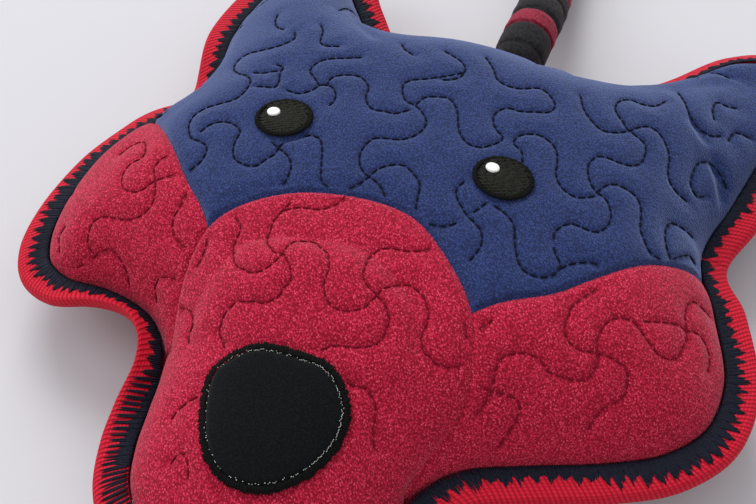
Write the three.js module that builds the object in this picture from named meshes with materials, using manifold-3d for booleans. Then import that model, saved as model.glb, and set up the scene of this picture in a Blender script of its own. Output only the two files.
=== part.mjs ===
import * as THREE from 'three';
import { mergeVertices } from 'three/addons/utils/BufferGeometryUtils.js';
import Module from 'manifold-3d';

// Plush dog toy: a stuffed, quilted dog's head with taped edges, soft ears and a rope tail.
// Millimetres, +Z up, lying on its back panel. +Y points from the nose to the rope tail.
// The toy is soft and lies a little askew, so its left and right edges are measured one by one.

const wasm = await Module();
wasm.setup();

// Head: overall plan size and the places in it
const headWidth = 242;
const headLength = 276;
const seamHeight = 21.5;
const frontSwell = 36.5;
const backSwell = 22;
const swellReach = 35;
const swellFallRadius = 168;
const belly = 0.5;

// Cloth, tape and gaps
const clearance = 0.3;
const halfGap = clearance / 2;
const fillingSlack = 0.8;
const quiltThickness = 2.4;
const hemThickness = 1;
const tapeWidth = 10.5;
const tapeThickness = 1.5;
const meltDistance = 0.001;
const weldDistance = 0.03;
const overrun = 30;
const soundShare = 0.98;

// Muzzle: a second swelling on the face
const muzzleSwell = 38.5;
const muzzleReach = 34;
const muzzleFallStartShare = -0.145;
const muzzleFallBend = 18;
const muzzleFallShare = 0.47;

// Nose, eyes and their highlights
const noseWidth = 44;
const noseLength = 41;
const nosePlaceShares = [0.0041, -0.328];
const noseBorder = 4;
const noseThickness = 1.4;
const borderThickness = 2;
const eyeWidth = 19;
const eyeLength = 17;
const eyePlaceShares = [0.153, 0.0235];
const eyeThickness = 1.2;
const highlightWidth = 4.4;
const highlightLength = 3.4;
const highlightPlaceShares = [-0.21, 0.21];
const highlightThickness = 0.8;

// Ears: each folds about a line across its root
const earFoldHeight = 39;
const earFoldUp = THREE.MathUtils.degToRad(42);
const earFoldDown = THREE.MathUtils.degToRad(12);

// Rope tail
const ropeDiameter = 20;
const tailSwing = THREE.MathUtils.degToRad(26);
const tailStub = 12;
const anchorLength = 21;
const anchorWidth = 34;
const anchorThickness = 10;
const ropeRun = 150;
const ropeDrift = -12;
const knotDiameter = 34;
const knotLength = 32;
const knotFullness = 2.5;
const tuftLength = 24;
const tuftDiameter = 24;
const tuftRootDiameter = 16;
const tuftDroop = 2;

// The rope's route: shares of its run, of its drift to the left and of its height over the table
const ropeFallShares = [
  [0, 0, 1], [0.067, 0, 0.973], [0.16, 0.083, 0.643], [0.32, 0.333, 0.188], [0.48, 0.583, 0],
];
const ropeRiseShares = [[0.68, 0.833, 0], [0.84, 0.958, 0.43], [0.933, 1, 0.957], [1, 1, 1]];

// Squeaker in the filling
const bulbDiameter = 46;
const bulbHeight = 20;
const bulbWall = 1.4;
const bulbPlaceShares = [0, -0.022];
const neckDiameter = 13;
const neckLength = 6;
const reedDiameter = 9;
const reedLength = 8;

// Outlines as shares of the head's width and length, from the tail round by the right side
const headOutlineShares = [
  [0.05, 0.359], [0.14, 0.353], [0.211, 0.357], [0.285, 0.402], [0.355, 0.453], [0.417, 0.476],
  [0.471, 0.46], [0.508, 0.406], [0.507, 0.333], [0.492, 0.254], [0.474, 0.174], [0.46, 0.098],
  [0.488, 0.029], [0.525, -0.065], [0.517, -0.149], [0.467, -0.21], [0.393, -0.25], [0.298, -0.286],
  [0.24, -0.312], [0.211, -0.355], [0.198, -0.409], [0.157, -0.475], [0.083, -0.511], [0, -0.522],
  [-0.079, -0.507], [-0.14, -0.475], [-0.182, -0.431], [-0.202, -0.384], [-0.211, -0.341], [-0.223, -0.29],
  [-0.252, -0.257], [-0.306, -0.243], [-0.372, -0.243], [-0.43, -0.221], [-0.463, -0.178], [-0.477, -0.109],
  [-0.467, -0.029], [-0.434, 0.047], [-0.405, 0.12], [-0.409, 0.188], [-0.417, 0.257], [-0.409, 0.333],
  [-0.388, 0.402], [-0.347, 0.453], [-0.285, 0.473], [-0.227, 0.442], [-0.178, 0.388], [-0.12, 0.341],
  [-0.045, 0.355],
];
const muzzleOutlineShares = [
  [0.008, -0.056], [0.066, -0.063], [0.12, -0.096], [0.171, -0.143], [0.196, -0.193],
  [0.204, -0.246], [0.182, -0.3], [0.163, -0.36], [0.148, -0.41], [0.112, -0.447],
  [0.055, -0.469], [0, -0.474], [-0.055, -0.466], [-0.1, -0.44], [-0.134, -0.4],
  [-0.152, -0.35], [-0.163, -0.3], [-0.183, -0.253], [-0.191, -0.19], [-0.18, -0.138],
  [-0.145, -0.1], [-0.085, -0.07],
];
const rightCheekSeamShares = [
  [0.15, -0.18], [0.2, -0.13], [0.26, -0.092], [0.3, -0.054], [0.354, -0.004], [0.422, 0.046],
  [0.475, 0.082], [0.6, 0.16],
];
const leftCheekSeamShares = [
  [-0.15, -0.18], [-0.2, -0.123], [-0.24, -0.09], [-0.285, -0.048], [-0.33, -0.008],
  [-0.37, 0.028], [-0.41, 0.06], [-0.47, 0.098], [-0.6, 0.16],
];
const muzzleApronShares = [
  [0.23, -0.35], [0.34, -0.42], [0.34, -0.7], [-0.34, -0.7], [-0.34, -0.3], [-0.22, -0.27],
];
const cheekCornerShares = [[0.8, 0.1], [0.8, -0.6], [0.1, -0.6]];
const rightEarRootShares = [[0.46, 0.098], [0.211, 0.357]];
const leftEarRootShares = [[-0.12, 0.341], [-0.405, 0.12]];
const tapeRoundShares = [[0, 0.5], [0.06, 0.88], [0.2, 1], [1, 1]];
const tailPivotShares = [0.06, 0.3515];
const headCentreShares = [-0.025, -0.043];
const crownCentreShares = [0.008, 0.018];
const muzzleCentreShares = [0.004, -0.25];
const noseOutlineShares = [
  [0, 0.47], [0.26, 0.44], [0.45, 0.24], [0.48, 0], [0.36, -0.3], [0.15, -0.48],
  [-0.1, -0.5], [-0.3, -0.38], [-0.46, -0.08], [-0.5, 0.2], [-0.3, 0.42],
];

// Sampling of the swelling forms
const stations = 64;
const muzzleStations = 32;
const ringSteps = [1.5, 5, 12, 23, 38];
const centreShares = [0.5];
const muzzleSteps = [1.5, 6, 13, 23];
const coreSteps = [2, 8, 26];
const muzzleCoreSteps = [2, 8, 20];
const backSteps = [2, 9, 24];
const backCoreSteps = [3, 16];
const seamSteps = 3;
const noseStations = 33;
const roundSides = 28;
const bulbSides = 18;
const bulbRounds = 6;
const knotSides = 16;
const knotRounds = 10;
const ropeSides = 10;
const ropeSteps = 14;

const materials = {
  navyPlush: { color: 0x2b3768, roughness: 0.95, metalness: 0 },
  crimsonPlush: { color: 0xa8253f, roughness: 0.95, metalness: 0 },
  webbing: { color: 0xc81430, roughness: 0.7, metalness: 0 },
  felt: { color: 0x141416, roughness: 0.98, metalness: 0 },
  blackThread: { color: 0x1b1b1e, roughness: 0.6, metalness: 0 },
  whiteThread: { color: 0xf2f2f0, roughness: 0.6, metalness: 0 },
  fibre: { color: 0xe9e8e2, roughness: 1, metalness: 0 },
  rope: { color: 0x1c1b1f, roughness: 0.9, metalness: 0 },
  vinyl: { color: 0xd9d4c4, roughness: 0.5, metalness: 0 },
};

function place([x, y]) {
  return new THREE.Vector2(x * headWidth, y * headLength);
}

// A smooth closed outline through its points
function closedOutline(shares, count, where = place) {
  const points = shares.map((share) => where(share)).map((p) => new THREE.Vector3(p.x, p.y, 0));
  const curve = new THREE.CatmullRomCurve3(points, true, 'centripetal');
  return curve.getPoints(count).slice(0, count).map((p) => new THREE.Vector2(p.x, p.y));
}

// The outline moved inwards by a distance, or outwards where it is negative
function inset(outline, distance) {
  const turn = Math.sign(THREE.ShapeUtils.area(outline));
  const moved = outline.map((point, i) => {
    const behind = point.clone().sub(outline[(i + outline.length - 1) % outline.length]).normalize();
    const ahead = outline[(i + 1) % outline.length].clone().sub(point).normalize();
    const along = behind.clone().add(ahead).normalize();
    const inward = new THREE.Vector2(-along.y, along.x).multiplyScalar(turn * distance / along.dot(ahead));
    return point.clone().add(inward);
  });
  return uncrossed(moved, (point) => distanceToOutline(point, outline) >= soundShare * Math.abs(distance));
}

// Points that cross over where an outline turns tightly are laid straight between the sound ones
function uncrossed(points, isSound) {
  const sound = points.map(isSound);
  const soundFrom = (i, step) => {
    let k = i;
    for (let tries = 0; tries < points.length && !sound[k]; tries += 1) {
      k = (k + step + points.length) % points.length;
    }
    return k;
  };
  return points.map((point, i) => {
    if (sound[i]) return point;
    const [last, next] = [soundFrom(i, -1), soundFrom(i, 1)];
    const behind = (i - last + points.length) % points.length;
    const ahead = (next - i + points.length) % points.length;
    return points[last].clone().lerp(points[next], behind / (behind + ahead));
  });
}

function distanceToOutline(point, outline) {
  let least = Infinity;
  outline.forEach((a, i) => {
    const b = outline[(i + 1) % outline.length];
    const side = b.clone().sub(a);
    const share = THREE.MathUtils.clamp(point.clone().sub(a).dot(side) / side.lengthSq(), 0, 1);
    least = Math.min(least, point.distanceTo(a.clone().addScaledVector(side, share)));
  });
  return least;
}

// A round shoulder: steep at the seam, level from its reach on
function shoulder(distance, reach) {
  const share = THREE.MathUtils.clamp(1 - distance / reach, 0, 1);
  return Math.sqrt(1 - share * share);
}

function geometryFrom(points, triangles) {
  const geometry = new THREE.BufferGeometry();
  const flat = points.flatMap((p) => [p.x, p.y, p.z]);
  geometry.setAttribute('position', new THREE.Float32BufferAttribute(flat, 3));
  geometry.setIndex(triangles);
  return geometry;
}

function signedVolume(geometry) {
  const position = geometry.getAttribute('position');
  const index = geometry.getIndex();
  const corners = [0, 1, 2].map(() => new THREE.Vector3());
  let sum = 0;
  for (let i = 0; i < index.count; i += 3) {
    corners.forEach((corner, k) => corner.fromBufferAttribute(position, index.getX(i + k)));
    sum += corners[0].dot(corners[1].clone().cross(corners[2]));
  }
  return sum;
}

function toSolid(geometry) {
  const plain = geometry.clone();
  plain.deleteAttribute('normal');
  plain.deleteAttribute('uv');
  const merged = mergeVertices(plain, meltDistance);
  const triVerts = new Uint32Array(merged.getIndex().array);
  if (signedVolume(merged) < 0) {
    for (let i = 0; i < triVerts.length; i += 3) {
      [triVerts[i], triVerts[i + 1]] = [triVerts[i + 1], triVerts[i]];
    }
  }
  const vertProperties = new Float32Array(merged.getAttribute('position').array);
  return new wasm.Manifold(new wasm.Mesh({ numProp: 3, vertProperties, triVerts }));
}

// A closed form from rings of equal count, with a point at each end
function ringForm(start, rings, end) {
  const count = rings[0].length;
  const points = [start, ...rings.flat(), end];
  const triangles = [];
  const vertex = (ring, i) => 1 + ring * count + (i % count);
  for (let i = 0; i < count; i += 1) {
    triangles.push(0, vertex(0, i + 1), vertex(0, i));
    triangles.push(points.length - 1, vertex(rings.length - 1, i), vertex(rings.length - 1, i + 1));
    for (let ring = 0; ring < rings.length - 1; ring += 1) {
      const [a, b] = [vertex(ring, i), vertex(ring, i + 1)];
      const [c, d] = [vertex(ring + 1, i), vertex(ring + 1, i + 1)];
      triangles.push(a, b, d, a, d, c);
    }
  }
  return toSolid(geometryFrom(points, triangles));
}

// A swelling body on an outline: its plan, its centre and its height inside the seam
class Swelling {
  constructor(outline, centre, steps, shares, crown, reach) {
    Object.assign(this, { outline, centre, steps, shares, crown, reach });
  }

  planRings(layer) {
    const rim = inset(this.outline, layer);
    const rings = [rim];
    this.steps.forEach((step) => {
      rings.push(rim.map((p) => p.clone().lerp(this.centre, step / p.distanceTo(this.centre))));
    });
    const last = rings[rings.length - 1];
    this.shares.forEach((share) => {
      rings.push(last.map((p) => this.centre.clone().lerp(p, share)));
    });
    return rings;
  }

  height(point, layer) {
    const depth = Math.max(0, distanceToOutline(point, this.outline) - layer);
    return Math.max(0, this.crown(point) - layer) * shoulder(depth, this.reach);
  }

  lifted(ring, layer, sign) {
    return ring.map((p) => new THREE.Vector3(p.x, p.y, seamHeight + sign * this.height(p, layer)));
  }

  top(layer, sign) {
    return this.lifted([this.centre], layer, sign)[0];
  }

  // From a level base at the seam, moved by baseShift, to the swelling's skin on one side
  half(layer, sign, baseShift = 0) {
    const [rim, ...inner] = this.planRings(layer);
    const level = (p) => new THREE.Vector3(p.x, p.y, seamHeight + sign * baseShift);
    const rings = [rim.map(level), ...inner.map((ring) => this.lifted(ring, layer, sign))];
    return ringForm(level(this.centre), rings, this.top(layer, sign));
  }
}

// How far the head swells at a place: most at the face, least at the ears' tips
function headCrown(swell) {
  return (point) => {
    const share = point.distanceTo(place(crownCentreShares)) / swellFallRadius;
    return swell * (1 - share * share);
  };
}

function muzzleCrown(point) {
  const past = Math.max(0, muzzleFallStartShare * headLength - point.y);
  return muzzleSwell - (muzzleFallShare * past * past) / (past + muzzleFallBend);
}

// The straight-sided prism over a plan outline
function prism(outline, low = -overrun, high = seamHeight + frontSwell + overrun) {
  const shape = new THREE.Shape(outline);
  const geometry = new THREE.ExtrudeGeometry(shape, { depth: high - low, bevelEnabled: false, steps: 1 });
  return toSolid(geometry.translate(0, 0, low));
}

function rectangle(left, near, right, far) {
  return [[left, near], [right, near], [right, far], [left, far]].map(([x, y]) => new THREE.Vector2(x, y));
}

// The largest body of a solid, where a cut leaves crumbs at a corner
function mainBody(solid) {
  const bodies = solid.decompose();
  return bodies.reduce((best, body) => (body.volume() > best.volume() ? body : best));
}

function geometryOf(solid) {
  const { numProp, vertProperties, triVerts } = solid.getMesh();
  const points = new Float32Array((vertProperties.length / numProp) * 3);
  for (let i = 0; i < points.length / 3; i += 1) {
    points.set(vertProperties.subarray(i * numProp, i * numProp + 3), i * 3);
  }
  const geometry = new THREE.BufferGeometry();
  geometry.setAttribute('position', new THREE.BufferAttribute(points, 3));
  geometry.setIndex(new THREE.BufferAttribute(new Uint32Array(triVerts), 1));
  return geometry;
}

// Corners nearer than the weld distance become one, and faces that collapse with them go
function welded(solid) {
  const merged = mergeVertices(geometryOf(solid), weldDistance);
  const index = merged.getIndex().array;
  const kept = [];
  for (let i = 0; i < index.length; i += 3) {
    const [a, b, c] = index.slice(i, i + 3);
    if (a !== b && b !== c && c !== a) kept.push(a, b, c);
  }
  merged.setIndex(kept);
  return mainBody(toSolid(merged));
}

function meshOf(name, solid, material) {
  const mesh = new THREE.Mesh(geometryOf(welded(solid)), new THREE.MeshStandardMaterial(materials[material]));
  mesh.name = name;
  return mesh;
}

// Plan outlines that every piece shares
const headOutline = closedOutline(headOutlineShares, stations);
const clothOutline = inset(headOutline, tapeWidth + clearance);
const hemOutline = inset(headOutline, tapeThickness + clearance);
const muzzleOutline = closedOutline(muzzleOutlineShares, muzzleStations);
const headCentre = place(headCentreShares);

// Each swelling has its skin, and a plainer core for the space inside the cloth
function headSwelling(crown, steps) {
  return new Swelling(clothOutline, headCentre, steps, centreShares, crown, swellReach);
}

function muzzleSwelling(steps) {
  const centre = place(muzzleCentreShares);
  return new Swelling(muzzleOutline, centre, steps, centreShares, muzzleCrown, muzzleReach);
}

const frontCrown = headCrown(frontSwell);
const backCrown = () => backSwell;
const skin = { front: headSwelling(frontCrown, ringSteps), back: headSwelling(backCrown, backSteps),
  muzzle: muzzleSwelling(muzzleSteps) };
const core = { front: headSwelling(frontCrown, coreSteps), back: headSwelling(backCrown, backCoreSteps),
  muzzle: muzzleSwelling(muzzleCoreSteps) };

// The hem: the flat edge of the cloth that the tape folds round
function hem(sign) {
  const near = halfGap;
  const far = halfGap + hemThickness;
  const lay = (ring, shift) => ring.map((p) => new THREE.Vector3(p.x, p.y, seamHeight + sign * shift));
  const [inner] = lay([headCentre], near);
  const [outer] = lay([headCentre], far);
  const within = inset(clothOutline, quiltThickness / 2);
  const rings = [lay(within, near), lay(hemOutline, near), lay(hemOutline, far), lay(within, far)];
  return ringForm(inner, rings, outer);
}

// The face's swelling, head and muzzle together, down to the seam
function faceForm({ front, muzzle }, layer, baseShift = 0) {
  const within = prism(inset(clothOutline, layer));
  return front.half(layer, 1, baseShift).add(muzzle.half(layer, 1, baseShift).intersect(within));
}

// The filling's space: everything inside the quilted cloth
function inside(layer) {
  return faceForm(core, layer).add(core.back.half(layer, -1));
}

function frontShell() {
  return faceForm(skin, 0, halfGap + hemThickness / 2).add(hem(1)).subtract(inside(quiltThickness));
}

function backShell() {
  return skin.back.half(0, -1, halfGap + hemThickness / 2).add(hem(-1)).subtract(inside(quiltThickness));
}

// What lies above the table, cut flat where the toy stands
function aboveTable(layer = 0) {
  const reach = (headWidth + headLength) / 2;
  return prism(rectangle(-reach, -reach, reach, reach), seamHeight - backSwell + belly + layer);
}

// Regions of the pattern, each a closed plan outline
function cheekRegion(seamShares, side) {
  const seam = new THREE.SplineCurve(seamShares.map(place)).getPoints(seamShares.length * seamSteps);
  return [...seam, ...cheekCornerShares.map(([x, y]) => place([side * x, y]))];
}

function muzzleRegions(grow) {
  const face = prism(inset(muzzleOutline, -grow));
  const apron = prism(inset(muzzleApronShares.map(place), -2 * grow));
  return face.add(apron);
}

// Everything beyond an ear's root line, moved towards the ear by shift
function earRegion(rootShares, shift) {
  const [from, to] = rootShares.map(place);
  const along = to.clone().sub(from).normalize();
  const outward = new THREE.Vector2(along.y, -along.x);
  const start = from.clone().addScaledVector(along, -headWidth / 4).addScaledVector(outward, shift);
  const end = to.clone().addScaledVector(along, headWidth / 4).addScaledVector(outward, shift);
  const far = outward.clone().multiplyScalar(headWidth / 2);
  return prism([start, end, end.clone().add(far), start.clone().add(far)]);
}

// The room an ear's root leaves so that it can fold up and down about its line
function earFoldRoom(rootShares) {
  const [from, to] = rootShares.map(place);
  const along = to.clone().sub(from).normalize();
  const outward = new THREE.Vector2(along.y, -along.x);
  const reach = seamHeight + frontSwell;
  const section = new THREE.Shape([
    new THREE.Vector2(clearance, 0),
    new THREE.Vector2(clearance + reach * Math.tan(earFoldUp), reach),
    new THREE.Vector2(-reach, reach),
    new THREE.Vector2(-reach, -reach),
    new THREE.Vector2(clearance + reach * Math.tan(earFoldDown), -reach),
  ]);
  const depth = from.distanceTo(to) + headWidth / 2;
  const geometry = new THREE.ExtrudeGeometry(section, { depth, bevelEnabled: false, steps: 1 });
  const frame = new THREE.Matrix4().makeBasis(
    new THREE.Vector3(outward.x, outward.y, 0),
    new THREE.Vector3(0, 0, 1),
    new THREE.Vector3(outward.y, -outward.x, 0),
  );
  const origin = to.clone().addScaledVector(along, headWidth / 4);
  frame.setPosition(origin.x, origin.y, earFoldHeight);
  return toSolid(geometry.applyMatrix4(frame));
}

const tailPivot = place(tailPivotShares);
const bulbPlace = place(bulbPlaceShares);

// The notch at the tail's root, wide enough for its swing
function tailNotch() {
  const radius = ropeDiameter / 2 + clearance;
  const hole = new THREE.CylinderGeometry(radius, radius, ropeDiameter + overrun, roundSides);
  hole.rotateX(Math.PI / 2).translate(tailPivot.x, tailPivot.y, seamHeight);
  const [across, ahead] = [radius * Math.cos(tailSwing), radius * Math.sin(tailSwing)];
  const lean = overrun * Math.sin(tailSwing);
  const run = overrun * Math.cos(tailSwing);
  const right = [[across, -ahead], [across + lean, run - ahead]];
  const left = right.map(([x, y]) => [-x, y]).reverse();
  const fan = [...right, ...left].map(([x, y]) => new THREE.Vector2(tailPivot.x + x, tailPivot.y + y));
  const depth = (ropeDiameter + overrun) / 2;
  return toSolid(hole).add(prism(fan, seamHeight - depth, seamHeight + depth));
}

// The folded tape round the edge
function tapeRing() {
  const slot = halfGap + hemThickness + clearance;
  const outer = slot + tapeThickness;
  const round = tapeRoundShares.map(([depth, rise]) => [depth * tapeWidth, rise * outer]);
  const upper = [...round, [tapeWidth, slot], [tapeThickness, slot]];
  const lower = upper.map(([depth, rise]) => [depth, -rise]).reverse();
  const lines = [...upper, ...lower].map(([depth, rise]) => inset(headOutline, depth).map((p) => (
    new THREE.Vector3(p.x, p.y, seamHeight + rise))));
  const points = lines.flat();
  const triangles = [];
  lines.forEach((line, k) => {
    const next = (k + 1) % lines.length;
    line.forEach((point, i) => {
      const j = (i + 1) % line.length;
      const [a, b] = [k * stations + i, k * stations + j];
      const [c, d] = [next * stations + i, next * stations + j];
      triangles.push(a, b, d, a, d, c);
    });
  });
  return toSolid(geometryFrom(points, triangles));
}

const notch = tailNotch();
const ears = { left: leftEarRootShares, right: rightEarRootShares };
const cheeks = { left: cheekRegion(leftCheekSeamShares, -1), right: cheekRegion(rightCheekSeamShares, 1) };
const headOnly = (solid) => Object.values(ears).reduce(
  (rest, root) => rest.subtract(earRegion(root, 0)), solid).subtract(notch);
const earOnly = (solid, root) => {
  const beyond = solid.intersect(earRegion(root, clearance));
  return mainBody(beyond.subtract(earFoldRoom(root)));
};

function growRegion(outline, grow) {
  return prism(inset(outline, -grow));
}

// Front panels of the face, parted along their seams
function facePanels(shell) {
  const face = headOnly(shell);
  const beside = face.subtract(muzzleRegions(halfGap));
  const cheekRegions = growRegion(cheeks.left, halfGap).add(growRegion(cheeks.right, halfGap));
  const forehead = mainBody(beside.subtract(cheekRegions));
  const cheek = (side) => mainBody(beside.intersect(growRegion(cheeks[side], -halfGap)));
  const muzzlePanel = mainBody(face.intersect(muzzleRegions(-halfGap)));
  return [
    meshOf('forehead_panel', forehead, 'navyPlush'),
    meshOf('cheek_panel_left', cheek('left'), 'crimsonPlush'),
    meshOf('cheek_panel_right', cheek('right'), 'crimsonPlush'),
    meshOf('muzzle_panel', muzzlePanel, 'crimsonPlush'),
  ];
}

function backPanel(shell) {
  return meshOf('back_panel', mainBody(headOnly(shell).intersect(aboveTable())), 'crimsonPlush');
}

// Squeaker: a hollow bulb with its reed in the neck
function bulbProfile(grow, hollow) {
  const radius = bulbDiameter / 2 + grow;
  const rise = bulbHeight / 2 + grow;
  const neck = neckDiameter / 2 + grow;
  const foot = -bulbHeight / 2 - neckLength - grow;
  const outer = [];
  for (let i = 0; i <= bulbRounds; i += 1) {
    const angle = THREE.MathUtils.lerp(Math.PI / 2, -Math.PI / 2, i / bulbRounds);
    outer.push(new THREE.Vector2(radius * Math.cos(angle), rise * Math.sin(angle)));
  }
  const body = outer.filter((p) => p.x > neck || p.y > 0);
  body[0].x = 0;
  const neckTop = body[body.length - 1].y - (hollow ? 0 : grow);
  const stem = [new THREE.Vector2(neck, neckTop), new THREE.Vector2(neck, foot)];
  if (!hollow) return [...body, ...stem, new THREE.Vector2(0, foot)];
  const bore = neck - bulbWall;
  const hollowShares = new THREE.Vector2(1 - bulbWall / radius, 1 - bulbWall / rise);
  const inner = body.slice(1).map((p) => p.clone().multiply(hollowShares));
  const innerTop = new THREE.Vector2(0, rise - bulbWall);
  return [...body, ...stem, new THREE.Vector2(bore, foot), new THREE.Vector2(bore, inner[inner.length - 1].y),
    ...inner.reverse(), innerTop];
}

function squeakerSolid(profile) {
  const lathe = new THREE.LatheGeometry([...profile, profile[0].clone()], bulbSides);
  lathe.rotateX(Math.PI / 2).translate(bulbPlace.x, bulbPlace.y, seamHeight);
  return toSolid(lathe);
}

function squeaker() {
  const bulb = squeakerSolid(bulbProfile(0, true));
  const radius = reedDiameter / 2;
  const foot = seamHeight - bulbHeight / 2 - neckLength;
  const reed = new THREE.CylinderGeometry(radius, radius, reedLength, bulbSides);
  reed.rotateX(Math.PI / 2).translate(bulbPlace.x, bulbPlace.y, foot + reedLength / 2);
  return [meshOf('squeaker_bulb', bulb, 'vinyl'), meshOf('squeaker_reed', toSolid(reed), 'vinyl')];
}

// Fibre filling in two halves round the squeaker
function filling() {
  const layer = quiltThickness + fillingSlack;
  const recess = squeakerSolid(bulbProfile(clearance, false));
  const anchorRoom = anchorBlock(clearance);
  const upper = faceForm(core, layer, halfGap);
  const lower = core.back.half(layer, -1, halfGap);
  const trim = (solid) => mainBody(headOnly(solid).subtract(recess).subtract(anchorRoom));
  return [
    meshOf('filling_front', trim(upper), 'fibre'),
    meshOf('filling_back', trim(lower).intersect(aboveTable(layer)), 'fibre'),
  ];
}

// The tail's anchor: the sewn-in end with a round seat for the rope's root
function anchorBlock(grow) {
  const across = anchorWidth / 2 + grow;
  const near = tailPivot.y - anchorLength - grow;
  const outline = rectangle(tailPivot.x - across, near, tailPivot.x + across, tailPivot.y);
  const rise = anchorThickness / 2 + grow;
  return prism(outline, seamHeight - rise, seamHeight + rise);
}

function tailAnchor() {
  const layer = quiltThickness + fillingSlack;
  const room = core.front.half(layer, 1).add(core.back.half(layer, -1));
  return meshOf('tail_anchor', mainBody(anchorBlock(0).intersect(room).subtract(notch)), 'blackThread');
}

// Patches sewn on the face
function patch(outline, thickness, under = 0) {
  const low = -clearance - under;
  const cloth = faceForm(skin, low - thickness).subtract(faceForm(skin, low));
  return mainBody(cloth.intersect(prism(outline, seamHeight + overrun / 3)));
}

function ellipse({ x, y }, width, length, count) {
  return new THREE.EllipseCurve(x, y, width / 2, length / 2).getPoints(count).slice(0, count);
}

function eye(side, name) {
  const [across, ahead] = eyePlaceShares;
  const centre = place([side * across, ahead]);
  const disc = ellipse(centre, eyeWidth, eyeLength, roundSides);
  const [left, up] = highlightPlaceShares;
  const glint = centre.clone().add(new THREE.Vector2(left * eyeWidth, up * eyeLength));
  const dot = ellipse(glint, highlightWidth, highlightLength, roundSides / 2);
  return [
    meshOf(`eye_${name}`, patch(disc, eyeThickness), 'blackThread'),
    meshOf(`eye_highlight_${name}`, patch(dot, highlightThickness, eyeThickness + clearance), 'whiteThread'),
  ];
}

function nose() {
  const centre = place(nosePlaceShares);
  const where = ([x, y]) => new THREE.Vector2(centre.x + x * noseWidth, centre.y + y * noseLength);
  const outer = closedOutline(noseOutlineShares, noseStations, where);
  const inner = inset(outer, noseBorder);
  const ring = patch(outer, borderThickness).subtract(prism(inner));
  const felt = patch(inset(inner, clearance), noseThickness);
  return [meshOf('nose_border', ring, 'blackThread'), meshOf('nose_patch', felt, 'felt')];
}

// One ear: front and back cloth, filling and its stretch of tape
function ear(name, root, frontCloth, backCloth, tape) {
  const layer = quiltThickness + fillingSlack;
  const stuffing = core.front.half(layer, 1).add(core.back.half(layer, -1));
  return [
    meshOf(`ear_front_${name}`, earOnly(frontCloth, root), 'navyPlush'),
    meshOf(`ear_back_${name}`, earOnly(backCloth, root), 'navyPlush'),
    meshOf(`ear_filling_${name}`, earOnly(stuffing, root), 'fibre'),
    meshOf(`ear_tape_${name}`, earOnly(tape, root), 'webbing'),
  ];
}

// The head's tape: round the face, and two short runs between the ears beside the tail
function headTape(tape) {
  const bodies = headOnly(tape).decompose().sort((a, b) => b.volume() - a.volume()).slice(0, 3);
  const [face, ...tops] = bodies;
  const middle = (body) => (body.boundingBox().min[0] + body.boundingBox().max[0]) / 2;
  tops.sort((a, b) => middle(a) - middle(b));
  return [
    meshOf('edge_tape_face', face, 'webbing'),
    meshOf('edge_tape_top_left', tops[0], 'webbing'),
    meshOf('edge_tape_top_right', tops[1], 'webbing'),
  ];
}

// Tail: the root that turns in its seat, the rope, its knot and cut end
const tailHeight = seamHeight;
const ropeStart = tailPivot.y + tailStub + clearance;
const knotHeight = knotDiameter / 2 + clearance;
const ropeEnd = new THREE.Vector3(tailPivot.x + ropeDrift, ropeStart + ropeRun, knotHeight);

function tailRoot() {
  const radius = ropeDiameter / 2;
  const post = new THREE.CylinderGeometry(radius, radius, ropeDiameter, roundSides);
  post.rotateX(Math.PI / 2).translate(tailPivot.x, tailPivot.y, tailHeight);
  const stub = new THREE.CylinderGeometry(radius, radius, tailStub, roundSides);
  stub.translate(tailPivot.x, tailPivot.y + tailStub / 2, tailHeight);
  return meshOf('tail_root', toSolid(post).add(toSolid(stub)), 'rope');
}

// The rope falls from its root to the table, and rises again to its knot
function ropeRoute() {
  const rest = ropeDiameter / 2 + clearance;
  const lay = (top) => ([run, drift, height]) => new THREE.Vector3(
    tailPivot.x + drift * ropeDrift,
    ropeStart + run * ropeRun,
    rest + height * (top - rest),
  );
  return [...ropeFallShares.map(lay(tailHeight)), ...ropeRiseShares.map(lay(knotHeight))];
}

function tailRope() {
  const path = new THREE.CatmullRomCurve3(ropeRoute(), false, 'centripetal');
  const section = new THREE.Shape(ellipse(new THREE.Vector2(), ropeDiameter, ropeDiameter, ropeSides));
  const options = { steps: ropeSteps, bevelEnabled: false, extrudePath: path };
  const geometry = new THREE.ExtrudeGeometry(section, options);
  return meshOf('tail_rope', toSolid(geometry), 'rope');
}

function tailKnot() {
  const ball = new THREE.SphereGeometry(1, knotSides, knotRounds);
  ball.scale(knotDiameter / 2, knotLength / 2 + knotFullness, knotDiameter / 2);
  const near = ropeEnd.y + clearance;
  ball.translate(ropeEnd.x, near + knotLength / 2, ropeEnd.z);
  const slab = prism(rectangle(ropeEnd.x - knotDiameter, near, ropeEnd.x + knotDiameter, near + knotLength));
  return meshOf('tail_knot', toSolid(ball).intersect(slab), 'rope');
}

function tailTuft() {
  const start = ropeEnd.y + knotLength + 2 * clearance;
  const tuft = new THREE.CylinderGeometry(tuftDiameter / 2, tuftRootDiameter / 2, tuftLength, knotSides);
  tuft.translate(ropeEnd.x, start + tuftLength / 2, ropeEnd.z - tuftDroop);
  return meshOf('tail_tuft', toSolid(tuft), 'rope');
}

const frontCloth = frontShell();
const backCloth = backShell();
const tape = tapeRing();

const toy = new THREE.Group();
toy.add(...facePanels(frontCloth), backPanel(backCloth), ...filling(), ...squeaker(), tailAnchor());
toy.add(...eye(-1, 'left'), ...eye(1, 'right'), ...nose(), ...headTape(tape));
Object.entries(ears).forEach(([name, root]) => toy.add(...ear(name, root, frontCloth, backCloth, tape)));
toy.add(tailRoot(), tailRope(), tailKnot(), tailTuft());

// The origin is under the middle of the toy's plan, tail rope left out, on the table
const plan = new THREE.Box2().setFromPoints(headOutline);
const middle = plan.getCenter(new THREE.Vector2());
toy.position.set(-middle.x, -middle.y, -(seamHeight - backSwell + belly));

export default toy;
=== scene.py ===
import math

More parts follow.
